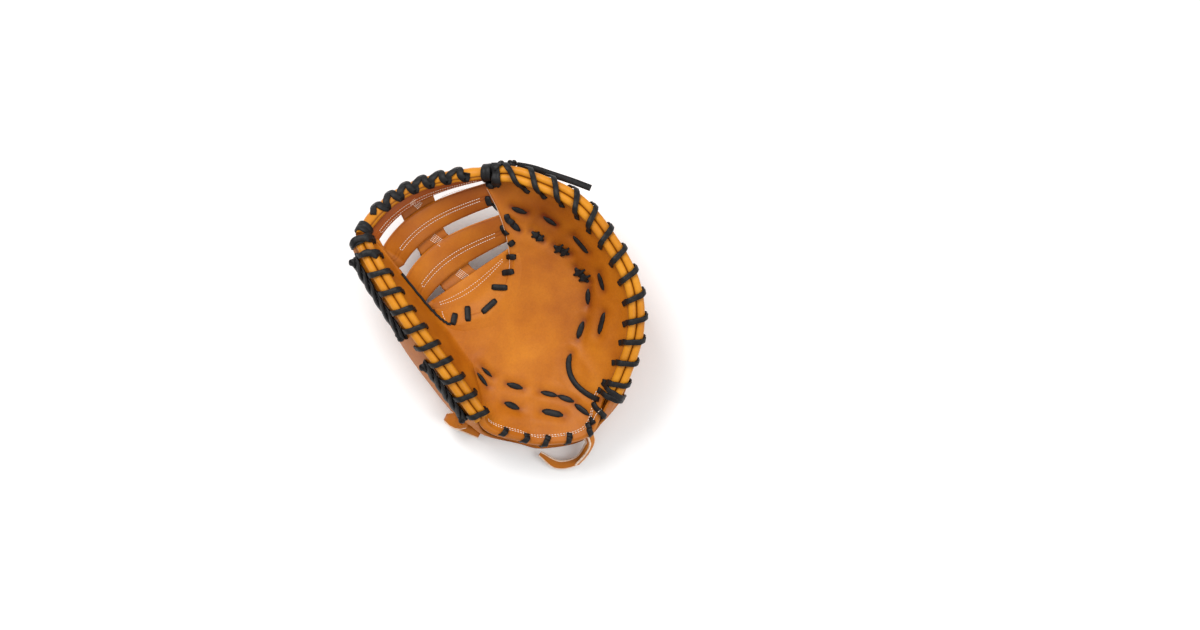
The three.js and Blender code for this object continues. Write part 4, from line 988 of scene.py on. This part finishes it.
for rim in (binding_piece("finger_rim_binding", 9.1, LAST, FINGER_RUN, "finger_binding"),
            binding_piece("thumb_rim_binding", 0, 4.4, THUMB_RUN, "thumb_binding")):
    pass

for name, turns, solid in (("finger_rim_lacing", FINGER_RUN + FINGER_ENDS, "finger_rim_lace"),
                           ("thumb_rim_lacing", THUMB_RUN + THUMB_ENDS, "thumb_rim_lace"),
                           ("heel_lacing", HEEL_RUN, "heel_lace")):
    laces = merged([lace_tube(turn, LACE_WIDTH * 1.02, LACE_THICK * 0.85) for turn in turns])
    piece(name, laces, LACE, [solid])

# Stitches along the heel's edge, on the palm
parts = []
for depth in (6.4, 8.6):
    line = [down_from(palm_surface, u, depth, 0.1, 1) for u in np.linspace(4.9, 9.1, 90)]
    parts += stitches([p for p, _ in line], [n for _, n in line])
piece("heel_stitching", merged(parts), THREAD)


# Web bars with their sewing
BARS = {
    "web_lower_bar": (2.0, 3.0, TAN, (0.38, 0.49)),
    "web_upper_bar": (4.0, 5.0, TAN, (0.38, 0.49)),
    "web_top_band": (6.0, 6.62, TAN_DARK, (0.28, 0.55)),
}
SEWN_FROM, SEWN_TO = 0.06, 0.93
web_sewing = []


def web_line(a, b):
    return web_surface(a, b), normal_of(web_surface, a, b)


def sew_on_web(a, b, lift):
    line, normals = web_line(a, b)
    web_sewing.extend(stitches(line + normals * lift, normals, **FINE_THREAD))


def bar_swell(share):
    return BAR_THICK / 2 * (0.45 + 1.15 * np.sin(np.pi * share) ** 0.8)


def base_panel():
    """The lowest bar of the web, which runs on into the palm as one leather with it."""
    a = np.linspace(-0.055, 1.055, 161)
    stations = np.linspace(2.0, 13.6, 500)
    edge = palm_surface(stations, 1.0)
    low = web_surface(a, 0.0)
    nearest = np.array([np.argmin(((edge[:, :2] - q[:2]) ** 2).sum(-1)) for q in low])
    u = stations[np.maximum.accumulate(nearest)]
    u = np.convolve(np.concatenate([np.full(12, u[0]), u, np.full(12, u[-1])]), np.ones(25) / 25, "valid")
    lines = []
    for b, lift in ((1.0, 1.5), (0.8, 2.2), (0.55, 2.1), (0.3, 1.9)):
        line, normals = web_line(a, b)
        lines.append(line + normals * lift)
    for s, lift in ((0.97, 1.1), (0.93, 0.7), (0.89, 0.1), (0.85, -1.2)):
        on_palm = palm_surface(u, s)
        relief = palm_relief(on_palm)[0] * min(1, (1 - s) * 12)
        lines.append(on_palm + normal_of(palm_surface, u, s) * col(lift + relief))
    lines = np.array(lines)
    return np.stack([catmull(lines[:, k], 6) for k in range(len(a))])


above = base_panel()
rows, columns = above.shape[:2]
n = unit(np.cross(np.gradient(above, axis=0), np.gradient(above, axis=1)))
n = n * np.sign(n[..., 2:3])
thick = np.interp(np.arange(columns), [0, columns * 0.5, columns - 1], [3.4, 3.6, 0.8])
panel = slab(above[:, ::-1], (above - n * thick[None, :, None])[:, ::-1], 3)
piece("web_base_panel", panel, TAN, ["web_base_bar"], 0.0)
for b in (0.60, 0.71):
    sew_on_web(np.linspace(SEWN_FROM, SEWN_TO, 90), b, 1.95)
for solid, (low, high, material, lanes) in BARS.items():
    rows, columns = 121, 33
    a, b = np.meshgrid(np.linspace(-0.055, 1.055, rows), np.linspace(low, high, columns), indexing="ij")
    share = (b - low) / (high - low)
    middle, n = web_line(a, b)
    puff = bar_swell(share)
    for lane in lanes:
        puff = puff - 0.55 * bell(share - lane, 0.035)
    verts, faces = slab(middle + n * col(puff), middle - n * (BAR_THICK / 2), 3)
    # Painted shade along the bar's two edges and in its stitched lanes. The bar is also drawn darker all over, and
    # more so towards the finger side and on the upper bar and top band: partly the leather's own redder colour, partly
    # painted shade
    edge = np.exp(-share * 26) + np.exp(-(1 - share) * 26)
    far = 0.12 + 0.34 * smooth(np.clip((a - 0.35) / 0.55, 0, 1)) + (0.1 if low > 3.5 else 0.0)
    shade = np.zeros(len(verts))
    shade[: rows * columns] = (far + 0.3 * edge + sum(0.22 * bell(share - lane, 0.03) for lane in lanes)).ravel()
    name = solid.replace("_bar", "_strap").replace("_band", "_collar")
    piece(name, (verts, faces), material, [solid], shade)
    for lane in lanes:
        sew_on_web(np.linspace(SEWN_FROM, SEWN_TO, 90), low + (high - low) * lane, bar_swell(lane) - 0.4)
    sew_on_web(SEWN_FROM, low + (high - low) * np.linspace(*lanes, 8), BAR_THICK / 2 * 1.5)
piece("web_stitching", merged(web_sewing), THREAD)


# Roll along the top of the web, its lace and the wraps at its ends
def roll_frame(a):
    """The web's top line at a: its point, the way out and the way up."""
    p, before, after = (web_point(a + step, WEB_LAST) for step in (0, -0.01, 0.01))
    along = unit(after - before)
    out = unit(np.stack([-along[..., 1], along[..., 0], np.zeros_like(along[..., 0])], -1))
    return p, out, unit(np.cross(along, out))


count, sides = 181, 28
GROOVE_ANGLE = 0.9
a = np.linspace(0.01, 0.985, count)
p, out, up = roll_frame(a)
swell = 1 + 0.05 * np.sin(a * 60) * np.sin(a * 23)
angles = [-math.pi + 2 * math.pi * k / sides for k in range(sides)]
lanes = []
for angle in angles:
    radius = ROLL_WIDTH / 2 * (1 - 0.16 * bell(angle - GROOVE_ANGLE, 0.14))
    lanes.append(p + out * col(-radius * swell * math.cos(angle)) + up * col(radius * swell * math.sin(angle)))
# Painted shade in the roll's groove
groove_shade = [bell(angle - GROOVE_ANGLE, 0.12) * 0.8 for angle in angles]
piece("web_roll", closed_tube(lanes), TAN_LIGHT, ["web_top_roll"], np.tile(groove_shade, count))


def on_roll(a, turn, lift=LACE_LIFT):
    p, out, up = roll_frame(np.array(a))
    face = out * math.sin(turn) + up * math.cos(turn)
    return p + face * (ROLL_WIDTH / 2 + lift), face


lean = [0.0, 0.5, 0.9, 1.0, 0.5, -0.1, -0.7, -1.0]
stops = [on_roll(0.13 + 0.72 * (i + 0.9 * (lean[i % 8] > 0)) / (8 * TOP_LACE_TURNS), 0.2 + 0.95 * lean[i % 8], 1.5)
         for i in range(8 * TOP_LACE_TURNS + 1)]
piece("web_top_lacing", lace_tube(stops, LACE_WIDTH * 1.25, LACE_THICK * 0.9, 3), LACE, ["web_top_lace"])


WRAP_STEPS, WRAP_TURNED = 32, 11.0
for name, a, b in (("finger_tip_wrap", 0.945, 0.985), ("thumb_tip_wrap", 0.015, 0.06)):
    shares = [k / WRAP_STEPS for k in range(WRAP_STEPS + 1)]
    stops = [on_roll(a + (b - a) * share, -2.4 + WRAP_TURNED * share, 1.5) for share in shares]
    piece(name + "s", lace_tube(stops, LACE_WIDTH * 1.1, LACE_THICK, 3), LACE, [name])


# Post behind the bars
def post_grid(rows, columns, lift):
    out = np.zeros((rows, columns, 3))
    for i, u in enumerate(np.linspace(0, 6, rows)):
        r = rows_at(POST, u)
        for j, v in enumerate(np.linspace(0, 1, columns)):
            x = (r["near_x"] + (r["far_x"] - r["near_x"]) * v) * WIDTH
            y = (r["near_y"] + (r["far_y"] - r["near_y"]) * v) * LENGTH
            p, n = drop_on(web_tree, float(x), float(y), -1)
            out[i, j] = p + n * lift
    return out


rows, columns = 71, 21
post = slab(post_grid(rows, columns, 0.7), post_grid(rows, columns, 0.7 + POST_THICK))
piece("web_centre_post", post, TAN, ["web_post"], 0.36)


# Knots: a lace drawn through itself, on a full core
def knot_mesh(centre, size=KNOT_WIDTH, turn=0.0):
    t = np.linspace(0, 2 * np.pi, 49)[:-1]
    k = size / 2 / 3.6
    x, y, z = (np.sin(t) + 2 * np.sin(2 * t)) * k, (np.cos(t) - 2 * np.cos(2 * t)) * k, -np.sin(3 * t) * k * 0.9
    c, s = math.cos(turn), math.sin(turn)
    pts = np.stack([x * c - y * s, x * s + y * c, z], -1) + centre
    pts = np.concatenate([pts, pts[:1]])
    out = unit(pts - centre)
    tube = sweep(pts, out, strap_profile(4.2, 1.9))
    lat, lon = 9, 14
    core = []
    for i in range(lat + 1):
        for j in range(lon):
            th, ph = math.pi * i / lat, 2 * math.pi * j / lon
            way = np.array([math.sin(th) * math.cos(ph), math.sin(th) * math.sin(ph), 0.72 * math.cos(th)])
            core.append(centre + way * size * 0.38)
    return merged([tube, (np.array(core), grid_faces(lat + 1, lon, 0, False, True))])


for name, knot in KNOTS.items():
    end = knot["at"]
    piece(f"web_{name}_knot", knot_mesh(end, turn=0.4 if name == "upper" else 1.1), LACE, [f"web_knot_{name}"])
    start, n = on_back(knot["start"][0] * WIDTH, knot["start"][1] * LENGTH, LACE_LIFT)
    middle = (start + end) / 2
    middle[2] = end[2] - 2
    pts = [start * (1 - t) ** 2 + middle * 2 * t * (1 - t) + end * t**2 for t in np.linspace(0, 0.97, 9)]
    stops = [(p, (0.3, 0, -1)) for p in [start - n * 4.0, *pts]]
    piece(f"web_{name}_lacing", lace_tube(stops, per=5), LACE, [f"web_lace_{name}"])
for name, tail, turn, solid in (("tip_knot", TIP_TAIL, 0.0, "finger_tip_knot"),
                                ("finger_back_knot", FINGER_TAIL, 0.7, "finger_knot")):
    piece(name, knot_mesh(scaled(tail["x"][0], tail["y"][0], tail["z"][0]), 11.0, turn), LACE, [solid])
stops = [on_back((0.118 + 0.019 * t) * WIDTH, (0.238 - 0.01 * t) * LENGTH, LACE_LIFT - 0.2)
         for t in np.linspace(0, 1, 4)]
piece("finger_back_lacing", lace_tube(stops), LACE, ["finger_lace"])

# Lacings along the thumb's side: three strands wound round each other between two knots
for name, a, b, middle in (("upper", 0.5, 2.1, 9.5), ("lower", 2.75, 4.0, 8.0)):
    strands = []
    for phase in (0.0, math.pi * 2 / 3, math.pi * 4 / 3):
        stops = []
        for k, u in enumerate(np.linspace(a, b, 18)):
            wound = phase + k * 0.7
            lift = LACE_LIFT + 2.6 + 2.0 * math.cos(wound)
            stops.append(down_from(back_surface, u, middle + 4.6 * math.sin(wound), lift, -1))
        stops.insert(0, (down_from(back_surface, a - 0.06, middle + 4, -3.0, -1)[0], stops[0][1]))
        stops.append((down_from(back_surface, b + 0.06, middle + 4, -3.0, -1)[0], stops[-1][1]))
        strands.append(lace_tube(stops, LACE_WIDTH * 1.1, per=4))
    for u in (a + 0.02, b - 0.02):
        strands.append(knot_mesh(down_from(back_surface, u, middle + 1, 4.5, -1)[0], 12.5, u))
    piece(f"thumb_side_{name}_lacing", merged(strands), LACE, [f"thumb_side_lace_{name}"])


# Laces and threads laid on what has been made, where the palm view (1) or the back view (-1) shows them
def seen_from_behind(cx, cy):
    return back_place(590 + cx / 4.9, 150 + cy / 4.9)


made_tree = bvh_of(*merged(MADE.values()))


def evened(values):
    """The running mean over five places."""
    return np.convolve(np.pad(values, 2, "edge"), np.ones(5) / 5, "valid")


def laid(points, side, steps=10):
    """The points of a drawn line on what is made, and the ways they face."""
    line = catmull(np.column_stack([points, np.zeros(len(points))]), steps) if len(points) > 2 \
        else np.linspace(points[0], points[1], steps)
    placed = [drop_on(made_tree, q[0], q[1], side) for q in line]
    placed = [(p, n) for p, n in placed if p is not None]
    p = np.array([q for q, _ in placed])
    n = np.array([q for _, q in placed])
    p[:, 2] = evened(p[:, 2])
    return p, unit(np.stack([evened(n[:, c]) for c in range(3)], -1))


def stroke(points, side, sink=2.6, lift=1.0):
    """A flat lace along a drawn line, its two ends sunk in the leather."""
    p, n = laid(points, side)
    dist = run_along(p)
    end = np.minimum(dist, dist[-1] - dist)
    rise = -sink + (sink + lift) * smooth(np.minimum(1.0, end / 2.6 + 0.1))
    wide = 0.5 + 0.5 * np.sqrt(np.minimum(1.0, end / 3.5))
    return sweep(p + n * col(rise), n, strap_profile(LACE_WIDTH * 1.08, 2.2), wide)


BACK_STROKES = [
    [(318, 245), (350, 218), (388, 212)], [(178, 345), (210, 312), (246, 288)],
    [(300, 215), (350, 182), (425, 155)],
    [(425, 150), (480, 158), (535, 175)], [(535, 172), (480, 198), (420, 262)],
    [(412, 265), (432, 318), (452, 368)],
    [(450, 368), (490, 345), (535, 338)], [(548, 100), (575, 135), (600, 162)],
    [(585, 158), (640, 165), (690, 145)],
    [(578, 222), (620, 190), (668, 215)], [(668, 215), (640, 265), (600, 312)],
    [(606, 262), (590, 320), (565, 372)],
    [(472, 432), (500, 402), (560, 425)], [(455, 528), (500, 500), (550, 488)],
    [(472, 655), (515, 615), (540, 555)],
    [(528, 768), (548, 722), (572, 685)], [(612, 848), (636, 812), (656, 776)],
    [(700, 910), (740, 893), (776, 880)],
    [(878, 955), (905, 930), (930, 903)], [(632, 640), (700, 684), (756, 722)],
    [(838, 786), (870, 806), (906, 828)],
    [(1000, 350), (988, 450), (970, 552)], [(908, 492), (980, 458), (1055, 412)],
    [(1028, 288), (1060, 316), (1090, 346)],
    [(708, 1148), (790, 1108), (870, 1065)], [(352, 385), (385, 400), (425, 388)],
]
PALM_STROKES = [
    [(545, 772), (540, 800), (533, 834)], [(603, 738), (605, 776), (608, 817)],
    [(744, 710), (709, 742), (673, 774)],
    [(718, 648), (757, 651), (799, 652)], [(768, 583), (798, 578), (830, 573)],
    [(790, 502), (814, 504), (840, 503)],
    [(795, 452), (812, 442), (830, 428)], [(744, 50), (722, 95), (705, 138), (712, 180)],
    [(776, 62), (748, 78), (716, 104)],
    [(58, 462), (74, 432), (118, 420), (168, 440)], [(100, 506), (140, 488), (186, 512)],
    [(680, 130), (705, 150), (722, 185)], [(700, 215), (706, 240), (716, 262)],
    [(716, 252), (730, 275), (748, 294)],
    [(768, 352), (782, 380), (798, 402)], [(790, 300), (800, 330), (830, 345)],
]
parts = [stroke([seen_from_behind(*q) for q in line], -1) for line in BACK_STROKES]
parts += [stroke([drawn(*q) for q in line], 1) for line in PALM_STROKES]
piece("crossed_and_edge_laces", merged(parts), LACE)


def sewn(lines, side, place, offsets, pitch=2.9):
    """Rows of stitches along drawn lines, at some offsets to their side."""
    out = []
    for line in lines:
        p, n = laid([place(*q) for q in line], side, 14)
        across = np.cross(n, heading(p))
        for offset in offsets:
            out += stitches(p + across * offset, n, pitch=pitch, length=2.0, radius=0.4)
    return out


WEB_BACK_SEWING = [
    [(720, 190), (850, 225), (970, 300)], [(560, 632), (620, 665), (690, 705)],
    [(1095, 440), (1130, 500), (1150, 580)],
    [(950, 620), (1000, 680), (1045, 740)], [(850, 850), (900, 885), (935, 890)],
]
POST_SEWING = [
    [(1028, 330), (1050, 400), (1045, 430)], [(905, 520), (935, 550)], [(820, 670), (865, 600)],
    [(735, 760), (770, 800)],
]
thread = sewn(SEAMS, -1, back_place, (-2.3, 2.3)) + sewn(WEB_BACK_SEWING, -1, seen_from_behind, (-1.3, 1.3))
thread += sewn(POST_SEWING, -1, seen_from_behind, (-2.4, -0.8, 0.8, 2.4))
BOXES = [[(335, 235), (385, 265)], [(430, 405), (482, 440)], [(552, 572), (602, 608)]]
thread += sewn(BOXES, 1, drawn, (-3.6, -1.8, 0.0, 1.8, 3.6), 2.4)
HEEL_SIDE = [[(1262, 1222), (1228, 1250), (1206, 1290)], [(480, 762), (488, 790), (500, 812)]]
thread += sewn(HEEL_SIDE, 1, drawn, (0.0,), 2.6)
piece("laid_stitching", merged(thread), THREAD)

# Thin lacing along the thumb's inner edge
line = [palm_surface(u, 0.975 + 0.012 * math.sin(u * 26)) + np.array([0, 0, 1.0])
        for u in np.linspace(1.2, 3.3, 60)]
piece("thumb_edge_lacing", sweep(line, np.tile([0.2, 0.1, 1.0], (len(line), 1)), strap_profile(2.6, 1.6)), LACE)


# Wrist: straps, flap and tab
for solid, name in (("wrist_strap", "wrist_closing_strap"), ("little_flap", "little_finger_flap"),
                    ("strap_tab", "strap_end_tab")):
    softened(solid, name, TAN, 0.7)


def both_edges(line, looks, reach, radius):
    """The two raw edges of a strap that is swept along a line."""
    across = unit(np.cross(looks, heading(line)))
    return [sweep(line + across * col(side * reach), looks, round_profile(radius)) for side in (-1, 1)]


# The pull strap hangs from under the palm's heel, with a short end beside it
stops = scaled(HEEL_STRAP["x"], HEEL_STRAP["y"], HEEL_STRAP["z"])[1:]
stops = catmull(np.concatenate([[[88.5, -125, 58.5], [86, -131, 45], [87, -138, 29]], stops]), 10)
turn = smooth(np.clip(np.linspace(-0.1, 1.25, len(stops)), 0, 1))
looks = unit(np.array([1.0, -0.25, 0.45]) * col(1 - turn) + np.array([0.12, -0.3, 1.0]) * col(turn))
taper = np.interp(np.linspace(0, 1, len(stops)), [0, 0.86, 1], [1, 1, 0.45])
short_end = catmull([(92, -123, 60), (*drawn(1192, 1345), 44), (*drawn(1207, 1402), 31), (*drawn(1184, 1456), 22),
                     (*drawn(1136, 1512), 15)], 8)
short_look = np.tile(unit(np.array([0.75, -0.55, 0.35])), (len(short_end), 1))
pull = merged([sweep(stops, looks, strap_profile(HEEL_STRAP_WIDTH, 2.3), taper),
               sweep(short_end, short_look, strap_profile(HEEL_STRAP_WIDTH * 0.8, 2.2))])
piece("heel_pull_strap", pull, TAN, ["heel_strap"], 0.02)
raw = both_edges(stops, looks, taper * (HEEL_STRAP_WIDTH / 2 - 0.5), 1.25)
raw += both_edges(short_end, short_look, 3.3, 1.2)


def raw_edge(points, lift, radius=1.1):
    return sweep(*laid_on_back(points, lift), round_profile(radius))


def strap_line(tab, a, b, side, shift=0.0, count=40):
    r = rows_at(tab, np.linspace(a, b, count))
    return np.stack([r[side + "_x"] * WIDTH, r[side + "_y"] * LENGTH + shift], -1)


def strap_across(tab, row, count=14):
    r = rows_at(tab, np.array([float(row)]))
    t = np.linspace(0, 1, count)
    return np.stack([(r["near_x"] + (r["far_x"] - r["near_x"]) * t) * WIDTH,
                     (r["near_y"] + (r["far_y"] - r["near_y"]) * t) * LENGTH], -1)


# The curled end of the wrist strap, beside the thumb
CURL = [(-40, -126, 20), (-46, -124.5, 27), (-53, -122, 31.5), (-59.5, -120, 29), (-62, -119.5, 21),
        (-58.5, -121.5, 14), (-50, -126, 10.5), (-40, -131.5, 9), (-27, -138.5, 7)]
curl = catmull(CURL, 8)
looks = np.cross(heading(curl), unit(np.array([-0.42, -0.9, -0.08])))
wide = np.interp(np.linspace(0, 1, len(curl)), [0, 0.1, 0.2, 0.3, 0.4, 0.5, 0.62, 0.75, 1],
                 [0.6, 0.95, 1.12, 1.0, 0.62, 0.5, 0.75, 0.85, 0.45])
piece("strap_end_curl", sweep(curl, looks, strap_profile(15.0, 3.4), wide), TAN, shade=0.04)
raw += both_edges(curl, looks, wide * 7.2, 1.3)
strap_face, flap_edge = 2 * GAP + STRAP_THICK, GAP + STRAP_THICK - 1.0
for side in ("near", "far"):
    raw.append(raw_edge(strap_line(STRAP, 0, 4, side), strap_face - 1.0))
    raw.append(raw_edge(strap_line(FLAP, 0, 2, side), flap_edge))
for a, b in ((0.38, 1.67), (2.28, 3.47)):
    for shift in (-2.3, 2.3):
        raw.append(raw_edge(strap_line(STRAP, a, b, "slot", shift), strap_face - 0.9, 0.9))
for row in (0, 4):
    raw.append(raw_edge(strap_across(STRAP, row), strap_face - 1.0))
raw.append(raw_edge(strap_across(FLAP, 0), flap_edge))
line, n = web_line(np.linspace(0.02, 0.98, 90), 6.0)
raw.append(sweep(line - n * 1.2, n, round_profile(1.1)))
u = np.linspace(12.5, 15.9, 90)
n = normal_of(palm_surface, u, 0.97)
raw.append(sweep(palm_surface(u, 1.0) - n * 2.2, n, round_profile(1.6)))
piece("raw_leather_edges", merged(raw), RAW_EDGE)

parts = []
for row in (1.9, 2.04, 3.6, 3.72, 0.14):
    parts += stitches(*laid_on_back(strap_across(STRAP, row, 20), strap_face + 0.1), **FINE_THREAD)
for side, inset in (("near", -2.6), ("far", 2.6)):
    line = strap_line(STRAP, 0.06, 3.94, side, inset, 90)
    parts += stitches(*laid_on_back(line, strap_face + 0.1), **FINE_THREAD)
piece("strap_stitching", merged(parts), THREAD)

# Padded roll along the wrist side of the hand opening
bend = np.linspace(math.pi * 0.98, math.pi * 2.02, 70)
points, ups = laid_on_back(oval(bend, OPENING_LENGTH + 3.0, OPENING_WIDTH + 5.0), 0.2)
fat = 0.35 + 0.65 * np.sin(np.linspace(0, math.pi, len(points))) ** 0.6
ahead = heading(points)
ups = unit(ups - ahead * np.sum(ups * ahead, -1, keepdims=True))
outs = np.cross(ups, ahead)
roll = closed_tube([points + (outs * x + ups * y) * col(fat) for x, y in round_profile(3.4, 14)])
piece("opening_roll", roll, TAN_LIGHT, shade=0.04)

# Gusset that closes the side between the palm's heel and the end of the finger binding
rows, columns = 41, 17
uu, tt = np.meshgrid(np.linspace(8.62, 10.1, rows), np.linspace(0, 1, columns), indexing="ij")
out = rim_outward(uu)
near = rim_point(uu) + out - np.array([0, 0, 2.5])
far = back_point(uu, 0.02) - out * 1.5
bulge = 2.5 * np.sin(np.pi * tt) - 1.2 * np.sin(uu * 9) * tt * (1 - tt)
above = near * col(1 - tt) + far * col(tt) + out * col(bulge)
n = unit(np.cross(np.gradient(above, axis=0), np.gradient(above, axis=1)))
n = n * np.sign(np.sum(n * out, -1, keepdims=True))
verts, faces = slab(above, above - n * 2.4)
# The gusset is drawn a little darker all over, and its first two rows much darker with painted shade, where it tucks
# in against the palm's heel
shade = np.full(len(verts), 0.2)
shade[: rows * columns] = 0.12
shade[: 2 * columns] = 0.62
piece("heel_side_gusset", (verts, faces), TAN, shade=shade)

# Floor and light
bpy.ops.mesh.primitive_plane_add(size=12, location=(0, 0, -0.0002))
floor = bpy.context.object
floor.name = "floor"
look, _, _, bsdf, _ = principled("floor_pale", 0.9, 0.1)
bsdf.inputs["Base Color"].default_value = (0.86, 0.86, 0.86, 1)
floor.data.materials.append(look)
bpy.context.scene.view_settings.view_transform = "Standard"
world = bpy.data.worlds.new("studio")
bpy.context.scene.world = world
world.use_nodes = True
world.node_tree.nodes["Background"].inputs["Color"].default_value = (1, 1, 1, 1)
world.node_tree.nodes["Background"].inputs["Strength"].default_value = 0.8


def area(name, place, target, size, power):
    light = bpy.data.lights.new(name, "AREA")
    light.shape, light.size, light.energy = "SQUARE", size, power
    obj = bpy.data.objects.new(name, light)
    obj.location = place
    obj.rotation_euler = (Vector(target) - Vector(place)).to_track_quat("-Z", "Y").to_euler()
    bpy.context.scene.collection.objects.link(obj)


middle = (view_x / 1000, view_y / 1000, 0.05)
area("key", (-0.7, 0.9, 1.5), middle, 0.9, 26)
area("fill", (1.1, -0.4, 1.4), middle, 1.2, 12)

bpy.context.view_layer.update()
